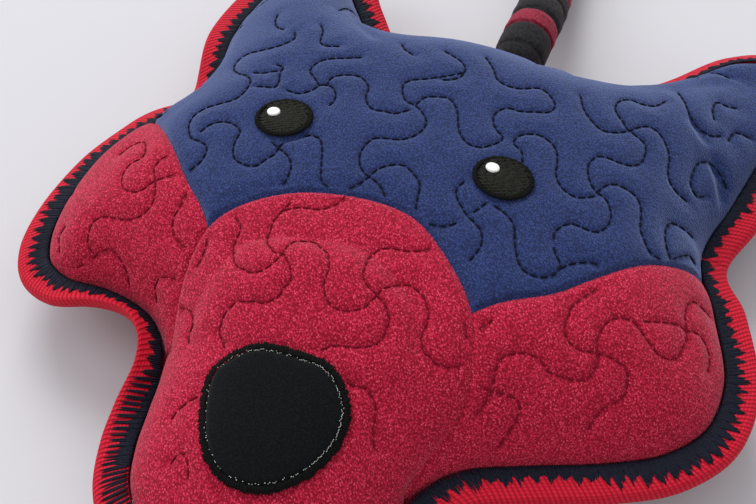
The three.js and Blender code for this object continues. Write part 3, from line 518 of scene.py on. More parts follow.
def webbing(name):
    """Woven tape: rows of small raised blocks, set a part of a step over from row to row"""
    rib_length, block_width = 1.5, 1.05
    material, tree, shader = node_set(name, 0.65, specular=0.2)
    parts = tree.nodes.new("ShaderNodeSeparateXYZ")
    tree.links.new(tree.nodes.new("ShaderNodeTexCoord").outputs["UV"], parts.inputs[0])

    def ridges(along, length, power):
        wave = calculate(tree, "SINE", calculate(tree, "MULTIPLY", along, math.pi / length))
        return calculate(tree, "POWER", calculate(tree, "ABSOLUTE", wave), power)

    along, across = parts.outputs[0], parts.outputs[1]
    rib = ridges(calculate(tree, "MULTIPLY_ADD", across, 0.4, along), rib_length, 0.6)
    blocks = calculate(tree, "MULTIPLY_ADD", ridges(across, block_width, 0.5), 0.5, 0.5)
    weave = calculate(tree, "MULTIPLY", rib, blocks)
    fuzz = noise(tree, object_place(tree), 1500.0, 2.0)
    raised = calculate(tree, "MULTIPLY_ADD", fuzz, 0.4, weave)
    # painted shade and highlight: the weave's low parts are coloured darker and its raised blocks lighter
    low = mix_colours(tree, ramp(tree, raised, 0.2, 0.8), (0.3, 0.002, 0.014), (0.58, 0.004, 0.026))
    weave_with_painted_light = mix_colours(tree, ramp(tree, raised, 0.95, 1.3), low, (0.76, 0.014, 0.042))
    tree.links.new(weave_with_painted_light, shader.inputs["Base Color"])
    bump(tree, shader, raised, 0.75, 0.0006)
    return material


def rope_bands(name):
    """Soft rope in black and crimson rings, told apart by the length along it"""
    material, tree, shader = node_set(name, 0.95, 0.15, (0.8, 0.7, 0.75), 0.12)
    coords = tree.nodes.new("ShaderNodeTexCoord")
    parts = tree.nodes.new("ShaderNodeSeparateXYZ")
    tree.links.new(coords.outputs["UV"], parts.inputs[0])
    fuzz = noise(tree, coords.outputs["Object"], 900.0, 3.0, 0.6)
    loops = noise(tree, coords.outputs["Object"], 2300.0, 1.0, 0.5)
    shade = ramp(tree, fuzz, 0.35, 0.75)
    black = mix_colours(tree, shade, (0.008, 0.008, 0.009), (0.03, 0.03, 0.033))
    crimson = mix_colours(tree, shade, (0.17, 0.012, 0.028), (0.44, 0.045, 0.085))
    pick = calculate(tree, "GREATER_THAN", parts.outputs[1], 0.5)
    tree.links.new(mix_colours(tree, pick, black, crimson), shader.inputs["Base Color"])
    bump(tree, shader, loops, 0.6, 0.0006)
    return material


# plush colours: painted shade for the pile's gaps, the body colour, painted highlight for the pile's tips
NAVY = plush("navy_plush", (0.013, 0.021, 0.075), (0.026, 0.045, 0.165), (0.058, 0.09, 0.245),
             0.6, (0.5, 0.62, 1.0), 0.35)
CRIMSON = plush("crimson_plush", (0.26, 0.005, 0.02), (0.56, 0.018, 0.062), (0.86, 0.105, 0.18),
                0.36, (1.0, 0.45, 0.55), 0.6)
WEBBING = webbing("red_webbing")
FELT = felt("black_felt", (0.001, 0.0015, 0.002), (0.009, 0.0105, 0.013))
BLACK_THREAD = thread("black_thread", (0.0006, 0.0008, 0.0007), (0.005, 0.006, 0.005), 0.8, 0.0, 0.12)
OLIVE_THREAD = thread("olive_black_thread", (0.005, 0.0055, 0.0035), (0.019, 0.02, 0.013), 0.7, 0.0, 0.15)
NAVY_THREAD = thread("navy_thread", (0.002, 0.003, 0.01), (0.007, 0.011, 0.03), 0.8, 0.0, 0.1)
WHIP_THREAD = thread("whip_thread", (0.0015, 0.002, 0.006), (0.008, 0.012, 0.032), 0.7, 0.0, 0.2)
CRIMSON_THREAD = thread("crimson_thread", (0.12, 0.002, 0.01), (0.24, 0.005, 0.022), 0.8, 0.0, 0.1)
WHITE_THREAD = thread("white_thread", (0.82, 0.82, 0.8), (0.95, 0.95, 0.94))
# painted glint: pale thread for the light caught along the nose's black satin border
GLINT_THREAD = thread("painted_glint_thread", (0.22, 0.25, 0.22), (0.85, 0.88, 0.84), 0.35)
ROPE = rope_bands("rope_cord")
FIBRE = plain("fibre", (0.8, 0.79, 0.75), (0.92, 0.91, 0.88), 1.0, 500.0)
VINYL = plain("vinyl", (0.7, 0.67, 0.57), (0.78, 0.75, 0.66), 0.5, 120.0)


def tube(path, radius, sides, closed_ends=True):
    """Vertices and faces of a tube; radius is one number or one for each point"""
    path = np.asarray(path, dtype=float)
    n = len(path)
    radius = np.broadcast_to(radius, (n,))
    tangents = np.gradient(path, axis=0)
    tangents /= np.linalg.norm(tangents, axis=1)[:, None]
    side = np.cross(tangents[0], [0, 0, 1.0])
    if np.linalg.norm(side) < 1e-3:
        side = np.cross(tangents[0], [0, 1.0, 0])
    vertices = []
    turns = np.linspace(0, 2 * math.pi, sides, endpoint=False)
    for i in range(n):
        side = side - tangents[i] * np.dot(side, tangents[i])
        side /= np.linalg.norm(side)
        up = np.cross(side, tangents[i])
        ring = path[i] + radius[i] * (np.cos(turns)[:, None] * side + np.sin(turns)[:, None] * up)
        vertices.append(ring)
    vertices = np.vstack(vertices)
    faces = []
    for i in range(n - 1):
        for k in range(sides):
            a, b = i * sides + k, i * sides + (k + 1) % sides
            faces.append((a, b, b + sides, a + sides))
    if closed_ends:
        faces.append(tuple(range(sides - 1, -1, -1)))
        faces.append(tuple((n - 1) * sides + k for k in range(sides)))
    return vertices, faces


def joined(parts):
    """One list of vertices and one of faces from several pairs of them"""
    points, faces, start = [], [], 0
    for part_points, part_faces in parts:
        points.append(part_points)
        faces += [tuple(i + start for i in face) for face in part_faces]
        start += len(part_points)
    return np.vstack(points), faces


def banded(lengths):
    """Share of the full radius, and whether the ring is crimson, at each length along the rope"""
    rings = (lengths + FIRST_RING) / RING_LENGTH
    index = np.floor(rings)
    swell = 0.86 + 0.14 * np.sqrt(np.clip(1 - (2 * (rings - index) - 1) ** 4, 0, 1))
    return swell, (index % 3 == 0).astype(float)


def make_rope():
    path, lengths = resampled(spline(ROPE_ROUTE, 30, False), 0.75, False)
    swell, crimson = banded(lengths)
    sides = 40
    vertices, faces = tube(path, swell * (ROPE_DIAMETER / 2 - 0.05), sides)
    turns = np.tile(np.arange(sides), len(path))
    rows = np.repeat(np.arange(len(path)), sides)
    rng = np.random.default_rng(3)
    wave = 0.12 * np.sin(turns * 2 * math.pi * 9 / sides + rows * 0.9) + rng.normal(0, 0.05, len(rows))
    middle = np.repeat(path, sides, axis=0)
    out = vertices - middle
    out /= np.linalg.norm(out, axis=1)[:, None]
    vertices = vertices + out * wave[:, None]
    vertices[:, 2] = np.maximum(vertices[:, 2], FLOOR_GAP)
    rope = new_piece("rope_tail", to_row(vertices, False), faces, ROPE)
    add_uv(rope, np.column_stack([np.repeat(lengths, sides) * 0.01, np.repeat(crimson, sides)]))
    return rope


def overhand(scale, centre, count=140):
    """An overhand knot's centre line, drawn in to its length along the rope"""
    t = np.linspace(0, 2 * math.pi, count, endpoint=False)
    x = np.sin(t) + 2 * np.sin(2 * t)
    y = np.cos(t) - 2 * np.cos(2 * t)
    z = -np.sin(3 * t)
    knot = np.column_stack([x / 3 * scale[0], z * scale[1], y / 3 * scale[2]])
    return knot + centre


def make_knot():
    x, _, middle_z = KNOT_CENTRE
    path = overhand(KNOT_SCALE, np.array(KNOT_CENTRE))
    core = np.array([[x, 260.0 + k * 2.1, middle_z] for k in range(16)])
    core_radius = np.interp(np.arange(16), [0, 3, 8, 12, 15], [9.4, 9.6, 9, 9.2, 8.2])
    cord = tube(np.vstack([path, path[:1]]), KNOT_CORD, 22, False)
    points, faces = joined([cord, tube(core, core_radius, 26)])
    knot = new_piece("rope_knot", to_row(points, False), faces, ROPE)
    add_uv(knot, np.zeros((len(points), 2)))
    return knot


def make_tuft():
    rng = np.random.default_rng(11)
    x, golden_turn, root_z, tip_z = KNOT_CENTRE[0], 2.39996, 16.2, 15.3
    root_spread, tip_spread = 6.8, 11.0
    strands = []
    for k in range(TUFT_STRANDS):
        turn = k * golden_turn
        share = math.sqrt((k + 0.5) / TUFT_STRANDS)
        root = np.array([x + root_spread * share * math.cos(turn), TUFT_START,
                         root_z + root_spread * share * math.sin(turn)])
        tip = np.array([x + tip_spread * share * math.cos(turn),
                        TUFT_START + TUFT_LENGTH - 3.0 * rng.random(),
                        tip_z + tip_spread * share * math.sin(turn)])
        bow = rng.normal(0, 0.9, 3)
        path = np.array([root + (tip - root) * s + bow * math.sin(math.pi * s) for s in np.linspace(0, 1, 6)])
        vertices, faces = tube(path, np.array([1.05, 1.0, 0.95, 0.9, 0.7, 0.3]), 5)
        vertices[:, 2] = np.maximum(vertices[:, 2], FLOOR_GAP)
        strands.append((vertices, faces))
    points, faces = joined(strands)
    tuft = new_piece("rope_tuft", to_row(points, False), faces, ROPE)
    crimson = np.arange(len(points)) // len(strands[0][0]) % 3 == 1
    add_uv(tuft, np.column_stack([np.zeros(len(points)), crimson.astype(float)]))
    return tuft


def make_root():
    """The rope's first turns, from its seat in the head to the free rope"""
    along = np.linspace(-9.6, 12.1, 44)
    path = np.column_stack([np.full(44, TAIL_PIVOT[0]), TAIL_PIVOT[1] + along, np.full(44, SEAM_HEIGHT)])
    round_end = np.sqrt(np.clip(1 - (np.minimum(along, 0) / 9.7) ** 2, 0.01, 1))
    ring = 0.86 + 0.14 * np.sqrt(np.clip(1 - ((along - 6.2) / 5.9) ** 4, 0, 1))
    radius = (ROPE_DIAMETER / 2 - 0.1) * round_end * np.where(along > 0.3, ring, 0.9)
    vertices, faces = tube(path, radius, 40)
    root = new_piece("rope_root", to_row(vertices, False), faces, ROPE)
    add_uv(root, np.zeros((len(vertices), 2)))
    return root


make_camera()
rope, knot, tuft, root = make_rope(), make_knot(), make_tuft(), make_root()
for piece, name in ((rope, "tail_rope"), (knot, "tail_knot"), (tuft, "tail_tuft"), (root, "tail_root")):
    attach(piece, "tail")
    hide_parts(name)
rope_path, rope_lengths = resampled(spline(ROPE_ROUTE, 4, False), 6.0, False)
tuple(to_row([ROPE_ROUTE[0]], False)[0])
[tuple(p) for p in to_row(rope_path, False)]


# The cloth's shape


class Line:
    """A line on the plan: the distance to it, counted positive on its inner side"""

    def __init__(self, points, closed, flip=False):
        self.points, self.lengths = resampled(points, LINE_STEP, closed)
        step = (np.roll(self.points, -1, axis=0) - np.roll(self.points, 1, axis=0)) if closed \
            else np.gradient(self.points, axis=0)
        step /= np.linalg.norm(step, axis=1)[:, None]
        x, y = self.points[:, 0], self.points[:, 1]
        area = np.sum(x * np.roll(y, -1) - y * np.roll(x, -1)) if closed else 1
        turn = math.copysign(1, area) * (-1 if flip else 1)
        self.inward = np.column_stack([-step[:, 1], step[:, 0]]) * turn
        self.tree = KDTree(len(self.points))
        for i, (px, py) in enumerate(self.points):
            self.tree.insert((px, py, 0), i)
        self.tree.balance()

    def near(self, where):
        found = np.array([self.tree.find((x, y, 0))[1:] for x, y in where])
        return found[:, 0].astype(int), found[:, 1]

    def reach(self, where, with_inward=False):
        index, distance = self.near(where)
        dot = np.sum((where - self.points[index]) * self.inward[index], axis=1)
        value = np.where(distance < 0.7, dot, np.copysign(distance, dot))
        return (value, self.inward[index]) if with_inward else value


head_line = Line(spline([place(s) for s in HEAD_SHARES], 24, True), True)
muzzle_line = Line(spline([place(s) for s in MUZZLE_SHARES], 24, True), True)
apron_line = Line(np.array([place(s) for s in APRON_SHARES]), True)
right_line = Line(spline([place(s) for s in RIGHT_CHEEK_SHARES], 16, False), False, True)
left_line = Line(spline([place(s) for s in LEFT_CHEEK_SHARES], 16, False), False)
nose_line = Line(spline([(NOSE_PLACE[0] + x * NOSE_WIDTH, NOSE_PLACE[1] + y * NOSE_LENGTH)
                         for x, y in NOSE_SHARES], 24, True), True)


def ellipse_line(x, y, width, length):
    turns = np.linspace(0, 2 * math.pi, 90, endpoint=False)
    return Line(np.column_stack([x + width / 2 * np.cos(turns), y + length / 2 * np.sin(turns)]), True)


eye_lines = {side: ellipse_line(*where, EYE_WIDTH, EYE_LENGTH) for side, where in EYE_PLACES.items()}


def ear_frame(side):
    start, end = (place(s) for s in EAR_ROOTS[side])
    along = (end - start) / np.linalg.norm(end - start)
    return start, end, along, np.array([along[1], -along[0]])


def ear_reach(side):
    start, _, _, outward = ear_frame(side)
    return lambda where: (where - start) @ outward


def shoulder(distance, reach):
    share = np.clip(1 - distance / reach, 0, 1)
    return np.sqrt(1 - share * share)


def head_rise(where, edge, back=False):
    depth = np.maximum(0, edge - CLOTH_EDGE)
    if back:
        return BACK_SWELL * shoulder(depth, SWELL_REACH)
    far = np.linalg.norm(where - place(CROWN_CENTRE), axis=1) / SWELL_FALL
    return FRONT_SWELL * (1 - far * far) * shoulder(depth, SWELL_REACH)


# The swelling's height on a fine grid, evened out so that no ridge runs along the ears
GRID = 1.5
grid_x = np.arange(-129, 138, GRID)
grid_y = np.arange(-156, 141, GRID)
grid_points = np.array([(x, y) for y in grid_y for x in grid_x])
grid_edge = head_line.reach(grid_points)


def evened(values, weight, width):
    cells = int(math.ceil(width * 3 / GRID))
    kernel = np.exp(-0.5 * (np.arange(-cells, cells + 1) * GRID / width) ** 2)
    out = []
    for field in (values * weight, weight):
        field = np.apply_along_axis(lambda row: np.convolve(row, kernel, mode="same"), 1, field)
        out.append(np.apply_along_axis(lambda row: np.convolve(row, kernel, mode="same"), 0, field))
    return out[0] / np.maximum(out[1], 1e-9)


def even_grid(back):
    shape = (len(grid_y), len(grid_x))
    rise = head_rise(grid_points, grid_edge, back).reshape(shape)
    weight = (grid_edge.reshape(shape) > CLOTH_EDGE).astype(float)
    return evened(rise, weight, 4.5)


even_rise = {False: even_grid(False), True: even_grid(True)}


def sampled(grid, where):
    x = np.clip((where[:, 0] - grid_x[0]) / GRID, 0, len(grid_x) - 1.001)
    y = np.clip((where[:, 1] - grid_y[0]) / GRID, 0, len(grid_y) - 1.001)
    i, j = x.astype(int), y.astype(int)
    u, v = x - i, y - j
    return ((1 - u) * (1 - v) * grid[j, i] + u * (1 - v) * grid[j, i + 1]
            + (1 - u) * v * grid[j + 1, i] + u * v * grid[j + 1, i + 1])


def smooth_step(values, low, high):
    share = np.clip((values - low) / (high - low), 0, 1)
    return share * share * (3 - 2 * share)


def height(where, edge, muzzle=None, back=False):
    """Height of the plain cloth over the seam, from the distance to the head's edge"""
    blend = smooth_step(edge - CLOTH_EDGE, 6, 16)
    rise = head_rise(where, edge, back) * (1 - blend) + sampled(even_rise[back], where) * blend
    if back:
        return np.minimum(rise, SEAM_HEIGHT - 0.15)
    if muzzle is not None:
        past = np.maximum(0, MUZZLE_FALL_START - where[:, 1])
        crown = MUZZLE_SWELL - MUZZLE_FALL_SHARE * past * past / (past + MUZZLE_FALL_BEND)
        raised = crown * shoulder(np.maximum(0, muzzle), MUZZLE_REACH)
        rise = np.where(muzzle > 0, np.maximum(rise, raised), rise)
    return rise


# Quilting: the lines where a sum of equal waves is nought wind round in even loops


class Quilting:
    def __init__(self, seed, count=40):
        rng = np.random.default_rng(seed)
        turns = rng.uniform(0, 2 * math.pi, count)
        rate = 2 * math.pi / QUILT_WAVE * rng.normal(1, 0.05, count)
        self.waves = np.column_stack([np.cos(turns), np.sin(turns)]) * rate[:, None]
        self.phases = rng.uniform(0, 2 * math.pi, count)

    def value(self, where):
        return np.cos(where @ self.waves.T + self.phases).sum(axis=1)

    def slope(self, where):
        return -np.sin(where @ self.waves.T + self.phases) @ self.waves

    def distance(self, where):
        return np.abs(self.value(where)) / (np.linalg.norm(self.slope(where), axis=1) + 0.02)

    def onto(self, where):
        for _ in range(3):
            slope = self.slope(where)
            where = where - slope * (self.value(where) / (np.sum(slope * slope, axis=1) + 1e-6))[:, None]
        return where

    def lines(self, low, high, step=0.8):
        """Every line between two corners of the plan, walked in equal steps"""
        across, along = np.arange(low[0], high[0], 7), np.arange(low[1], high[1], 7)
        seeds = self.onto(self.onto(np.array([(x, y) for x in across for y in along])))
        done, found = set(), []
        for seed in seeds:
            cell = tuple(np.round(seed / 2).astype(int))
            if any((cell[0] + i, cell[1] + j) in done for i in (-1, 0, 1) for j in (-1, 0, 1)):
                continue
            if (seed < low).any() or (seed > high).any() or abs(self.value(seed[None])[0]) > 0.05:
                continue
            halves = []
            for sign in (1, -1):
                at, half = seed[None], []
                for count in range(1500):
                    slope = self.slope(at)[0]
                    aim = np.array([-slope[1], slope[0]]) * sign / np.linalg.norm(slope)
                    at = at + aim * step
                    slope = self.slope(at)
                    at = at - slope * (self.value(at) / np.sum(slope * slope, axis=1))[:, None]
                    half.append(at[0])
                    done.add(tuple(np.round(at[0] / 2).astype(int)))
                    closed = count > 4 and np.linalg.norm(at[0] - seed) < step
                    if closed or (at[0] < low).any() or (at[0] > high).any():
                        break
                halves.append(half)
                if closed:
                    break
            other = halves[1][::-1] if len(halves) > 1 else []
            found.append(np.array(other + [seed] + halves[0]))
        return found


QUILT_SEEDS = {"forehead": 4, "cheek_left": 9, "cheek_right": 15, "muzzle": 21, "ear_left": 28,
               "ear_right": 33, "back": 42}
quilting = {panel: Quilting(seed) for panel, seed in QUILT_SEEDS.items()}


def in_picture(points):
    """Pixels of the photo at which points of the shared frame are seen, and their distances"""
    camera = bpy.context.scene.camera.matrix_world
    right, up, back, eye = (np.array([camera[i][k] for i in range(3)]) for k in range(4))
    away = points - eye / MM
    depth = -(away @ back)
    middle_x, middle_y = PICTURE_SIZE[0] / 2, PICTURE_SIZE[1] / 2
    return np.column_stack([middle_x + FOCAL_LENGTH * (away @ right) / depth,
                            middle_y - FOCAL_LENGTH * (away @ up) / depth]), depth


def seen_rows():
    """The rows of quilting that the photo shows, moved from its pixels to half millimetres of the plan"""
    step, reach_px, cover, shortest = 0.8, 3.0, 9, 1.2
    plan = np.array([(x, y) for y in np.arange(-146, 134, step) for x in np.arange(-124, 130, step)])
    edge = head_line.reach(plan)
    plan, edge = plan[edge > 1], edge[edge > 1]
    cloth = np.column_stack([plan, SEAM_HEIGHT + CLOTH_LIFT + height(plan, edge, muzzle_line.reach(plan))])
    pixels, depth = in_picture(to_row(cloth) / MM)
    rows = []
    for seen in QUILT_SEEN:
        row = []
        for pixel in seen:
            off = np.linalg.norm(pixels - pixel, axis=1)
            near = np.nonzero(off < reach_px)[0]
            if len(near) < 3:
                continue
            near = near[depth[near] < depth[near].min() + cover]
            nearest = near[np.argsort(off[near])[:3]]
            weight = 1 / (off[nearest] + 0.05)
            point = np.round((plan[nearest] * weight[:, None]).sum(0) / weight.sum() * 2) / 2
            if not row or np.abs(point - row[-1]).sum() > shortest:
                row.append(point)
        if len(row) > 1:
            rows.append(row)
    return rows


row_lines = [resampled(spline(row, 6, False), 0.4, False)[0] for row in seen_rows()]
row_points = np.vstack(row_lines)
row_tree = KDTree(len(row_points))
for row_index, (row_x, row_y) in enumerate(row_points):
    row_tree.insert((row_x, row_y, 0), row_index)
row_tree.balance()
LOOPS_START = 17.0


def to_rows(where):
    """Distance to the nearest row of quilting that the photo shows"""
    return np.array([row_tree.find((x, y, 0))[2] for x, y in where])


def quilt_furrow(panel, where):
    """The quilting's furrow in front: the photo's rows, and a panel's own loops where the photo shows none"""
    rows = to_rows(where)
    loops = groove(quilting[panel].distance(where), FURROW_SHARP, FURROW_SOFT)
    loops *= smooth_step(rows, LOOPS_START - 2, LOOPS_START + 2)
    return np.maximum(groove(rows, FURROW_SHARP, FURROW_SOFT), loops)


def drag_folds(where):
    """Depth of the drag folds, deepest at the middle of each"""
    depth = np.zeros(len(where))
    for start, end, deep, half in DRAG_FOLDS:
        along = np.subtract(end, start)
        length = np.linalg.norm(along)
        share = (where - start) @ along / length ** 2
        across = (where - start) @ np.array([along[1], -along[0]]) / length
        depth += deep * np.exp(-(across / half) ** 2 - ((share - 0.5) / 0.45) ** 4)
    return depth


# The cloth's net: a fine lattice, parted along the seams


def lattice(low, high, step):
    """An even net of triangles between two corners of the plan: its points and its faces"""
    xs, ys = np.arange(low[0], high[0], step), np.arange(low[1], high[1], step * 0.866)
    points = np.array([(x + (step / 2 if j % 2 else 0), y) for j, y in enumerate(ys) for x in xs])
    n = len(xs)
    faces = []
    for j in range(len(ys) - 1):
        for i in range(n - 1):
            a, b, c, d = j * n + i, j * n + i + 1, (j + 1) * n + i, (j + 1) * n + i + 1
            faces += [(a, b, c), (b, d, c)] if j % 2 == 0 else [(a, d, c), (a, b, d)]
    return points, np.array(faces)


class Net:
    """A flat net that can be parted along lines; fields give each point a number that is nought on a line"""

    def __init__(self, points, faces, fields):
        self.points, self.faces, self.fields, self.values = points, faces, fields, {}
        self.drop_loose()
        self.values = {name: field(self.points) for name, field in fields.items()}

    def drop_loose(self):
        used, self.faces = np.unique(self.faces, return_inverse=True)
        self.faces = self.faces.reshape(-1, 3)
        self.points = self.points[used]
        self.values = {name: value[used] for name, value in self.values.items()}

    def part(self, name, where=None):
        """Put edges along the line where a field is nought"""
        value = self.values[name]
        value[np.abs(value) < 0.1] = 0
        sign = np.sign(value)[self.faces]
        mixed = (sign.max(axis=1) > 0) & (sign.min(axis=1) < 0)
        if where is not None:
            mixed &= where(self)[self.faces].all(axis=1)
        made, added, faces = {}, [], []

        def between(a, b):
            key = (min(a, b), max(a, b))
            if key not in made:
                share = value[a] / (value[a] - value[b])
                made[key] = len(self.points) + len(added)
                added.append(self.points[a] + (self.points[b] - self.points[a]) * share)
            return made[key]

        for face in self.faces[mixed]:
            signs = [np.sign(value[i]) for i in face]
            through_corner = 0 in signs
            if through_corner:
                k = signs.index(0)
            else:
                k = next(k for k in range(3) if signs[k] not in (signs[(k + 1) % 3], signs[(k + 2) % 3]))
            a, b, c = (face[(k + turn) % 3] for turn in range(3))
            if through_corner:
                m = between(b, c)
                faces += [(a, b, m), (a, m, c)]
            else:
                m, n = between(a, b), between(a, c)
                faces += [(a, m, n), (m, b, c), (m, c, n)]
        if added:
            added = np.array(added)
            self.points = np.vstack([self.points, added])
            self.faces = np.vstack([self.faces[~mixed], np.array(faces)])
            for key, field in self.fields.items():
                fresh = field(added)
                if key == name:
                    fresh[:] = 0
                self.values[key] = np.concatenate([self.values[key], fresh])

    def side(self, name):
        """For each face, which side of the field it lies on"""
        return self.values[name][self.faces].sum(axis=1) > 0

    def keep(self, faces):
        self.faces = self.faces[faces]
        self.drop_loose()


def head_net(step, fields):
    """The net over the whole head, drawn closer together towards the edge, where the cloth is steep"""
    points, faces = lattice((-128, -154), (136, 140), step)
    edge, inward = head_line.reach(points, True)
    depth = edge - CLOTH_EDGE
    share = np.clip(depth / RIM_BAND, 0, 1)
    drawn = np.where(depth > 0, depth - RIM_BAND * (2 * share ** 2 - share ** 3), 0)
    drawn = np.where(depth >= RIM_BAND, 0, drawn)
    inside = (depth > -3 * step)[faces].all(axis=1)
    return Net(points - inward * drawn[:, None], faces[inside], fields)


def face_normals_at_points(points, faces):
    a, b, c = (points[faces[:, k]] for k in range(3))
    normals = np.cross(b - a, c - a)
    out = np.zeros_like(points)
    for k in range(3):
        np.add.at(out, faces[:, k], normals)
    return out / np.maximum(np.linalg.norm(out, axis=1), 1e-12)[:, None]


def groove(distance, sharp, soft):
    """How far the cloth is drawn in at a distance from a row of stitches"""
    return (sharp * np.exp(-(distance / FURROW_SHARP_WIDTH) ** 2)
            + soft * np.exp(-(distance / FURROW_SOFT_WIDTH) ** 2))


def walled(piece, thickness):
    """The piece with a wall under it, its rim kept crisp"""
    wall = piece.modifiers.new("wall", "SOLIDIFY")
    wall.thickness, wall.offset = thickness * MM, -1
    evaluated = piece.evaluated_get(bpy.context.evaluated_depsgraph_get())
    mesh = bpy.data.meshes.new_from_object(evaluated)
    piece.modifiers.remove(wall)
    sheet, piece.data = piece.data, mesh
    bpy.data.meshes.remove(sheet)
    mesh.name = piece.name
    mesh.set_sharp_from_angle(angle=math.radians(65))
    return piece


def cloth_piece(name, net, chosen, vertices, material):
    used, faces = np.unique(net.faces[chosen], return_inverse=True)
    sheet = new_piece(name, to_row(vertices[used]), faces.reshape(-1, 3), material)
    return walled(sheet, CLOTH_THICKNESS)


def to_muzzle(p):
    """Distance to the muzzle panel's edge: the muzzle's own line and the apron below it"""
    return np.maximum(muzzle_line.reach(p), apron_line.reach(p))


EDGE_FIELDS = {
    "edge": lambda p: head_line.reach(p) - CLOTH_EDGE,
    "ear_left": ear_reach("left"),
    "ear_right": ear_reach("right"),
}
FRONT_FIELDS = {
    **EDGE_FIELDS,
    "muzzle_line": muzzle_line.reach,
    "right": right_line.reach,
    "left": left_line.reach,
    "muzzle": to_muzzle,
}


def make_front(step):
    net = head_net(step, FRONT_FIELDS)
    net.part("edge")
    net.keep(net.side("edge"))
    net.part("muzzle")
    net.part("right", lambda n: n.points[:, 0] > 0)
    net.part("left", lambda n: n.points[:, 0] < 0)
    net.part("ear_left")
    net.part("ear_right")
    points, value = net.points, net.values
    middle = points[net.faces].mean(axis=1)
    in_muzzle = net.side("muzzle")
    in_ear_left, in_ear_right = net.side("ear_left"), net.side("ear_right")
    panels = {
        "muzzle": in_muzzle,
        "cheek_right": net.side("right") & (middle[:, 0] > 0) & ~in_muzzle & ~in_ear_right,
        "cheek_left": net.side("left") & (middle[:, 0] < 0) & ~in_muzzle & ~in_ear_left,
        "ear_left": in_ear_left & ~in_muzzle,
        "ear_right": in_ear_right & ~in_muzzle,
    }
    panels["forehead"] = ~np.any(list(panels.values()), axis=0)
    rise = height(points, value["edge"] + CLOTH_EDGE, value["muzzle_line"])
    base = np.column_stack([points, SEAM_HEIGHT + CLOTH_LIFT + rise])
    normals = face_normals_at_points(base, net.faces)
    # seams draw the cloth in, and so do the rows of quilting
    seam = np.abs(value["muzzle"])
    outside = value["muzzle"] < 0
    seam = np.where(outside & (points[:, 0] > 0), np.minimum(seam, np.abs(value["right"])), seam)
    seam = np.where(outside & (points[:, 0] < 0), np.minimum(seam, np.abs(value["left"])), seam)
    sink = (SEAM_SHARP * np.exp(-(seam / SEAM_SHARP_WIDTH) ** 2)
            + SEAM_SOFT * np.exp(-(seam / SEAM_SOFT_WIDTH) ** 2))
    quilted = np.zeros(len(points))
    for panel, faces in panels.items():
        members = np.unique(net.faces[faces])
        quilted[members] = quilt_furrow(panel, points[members])
    quilted += drag_folds(points)
    fade = smooth_step(seam, 0.8, 3.0) * smooth_step(value["edge"], 0.3, 3.0)
    for line in (nose_line, *eye_lines.values()):
        patch = line.reach(points)
        fade *= 1 - smooth_step(patch, -1.5, 0.5)
        sink = np.maximum(sink, 0.5 * np.exp(-(np.minimum(patch, 0) / 2.0) ** 2))
    vertices = base - normals * (sink + quilted * fade)[:, None]
    vertices[:, 2] = np.maximum(vertices[:, 2], SEAM_HEIGHT + CLOTH_LIFT)
    return net, panels, vertices


def surface(where, sink=0.0, back=False):
    """Points and outward directions on the cloth over places on the plan"""
    where = np.asarray(where, dtype=float)

    def level(p):
        return height(p, head_line.reach(p), None if back else muzzle_line.reach(p), back)

    rise = level(where)
    d = 0.4
    slope_x = (level(where + (d, 0)) - level(where - (d, 0))) / (2 * d)
    slope_y = (level(where + (0, d)) - level(where - (0, d))) / (2 * d)
    sign = -1 if back else 1
    normals = np.column_stack([-slope_x, -slope_y, np.ones(len(where))])
    normals /= np.linalg.norm(normals, axis=1)[:, None]
    normals[:, 2] *= sign
    points = np.column_stack([where, SEAM_HEIGHT + sign * (CLOTH_LIFT + rise)])
    return points - normals * sink, normals


# Threads: one tree lays a thread on each point, along the point's aim


def thread_tree():
    tree = bpy.data.node_groups.new("laid_threads", "GeometryNodeTree")
    sockets = {}
    for name, kind in (("Geometry", "NodeSocketGeometry"), ("Thickness", "NodeSocketFloat"),
                       ("Sides", "NodeSocketInt"), ("Rings", "NodeSocketInt"),
                       ("Material", "NodeSocketMaterial")):
        sockets[name] = tree.interface.new_socket(name=name, in_out="INPUT", socket_type=kind)
    tree.interface.new_socket(name="Geometry", in_out="OUTPUT", socket_type="NodeSocketGeometry")
    make, link = tree.nodes.new, tree.links.new
    given, result = make("NodeGroupInput"), make("NodeGroupOutput")
    ball = make("GeometryNodeMeshUVSphere")
    ball.inputs["Radius"].default_value = 0.5
    link(given.outputs["Sides"], ball.inputs["Segments"])
    link(given.outputs["Rings"], ball.inputs["Rings"])
    aim, span = (make("GeometryNodeInputNamedAttribute") for _ in range(2))
    for attribute, name, kind in ((aim, "aim", "FLOAT_VECTOR"), (span, "span", "FLOAT")):
        attribute.data_type = kind
        attribute.inputs["Name"].default_value = name
    align = make("FunctionNodeAlignRotationToVector")
    align.axis = "Z"
    link(aim.outputs["Attribute"], align.inputs["Vector"])
    scale = make("ShaderNodeCombineXYZ")
    link(given.outputs["Thickness"], scale.inputs["X"])
    link(given.outputs["Thickness"], scale.inputs["Y"])
    link(span.outputs["Attribute"], scale.inputs["Z"])
    lay = make("GeometryNodeInstanceOnPoints")
    link(given.outputs["Geometry"], lay.inputs["Points"])
    link(ball.outputs["Mesh"], lay.inputs["Instance"])
    link(align.outputs["Rotation"], lay.inputs["Rotation"])
    link(scale.outputs["Vector"], lay.inputs["Scale"])
    real = make("GeometryNodeRealizeInstances")
    link(lay.outputs["Instances"], real.inputs["Geometry"])
    smooth = make("GeometryNodeSetShadeSmooth")
    link(real.outputs["Geometry"], smooth.inputs["Geometry"])
    finish = make("GeometryNodeSetMaterial")
    link(smooth.outputs["Geometry"], finish.inputs["Geometry"])
    link(given.outputs["Material"], finish.inputs["Material"])
    link(finish.outputs["Geometry"], result.inputs["Geometry"])
    return tree, {name: socket.identifier for name, socket in sockets.items()}


THREADS, THREAD_SOCKETS = thread_tree()


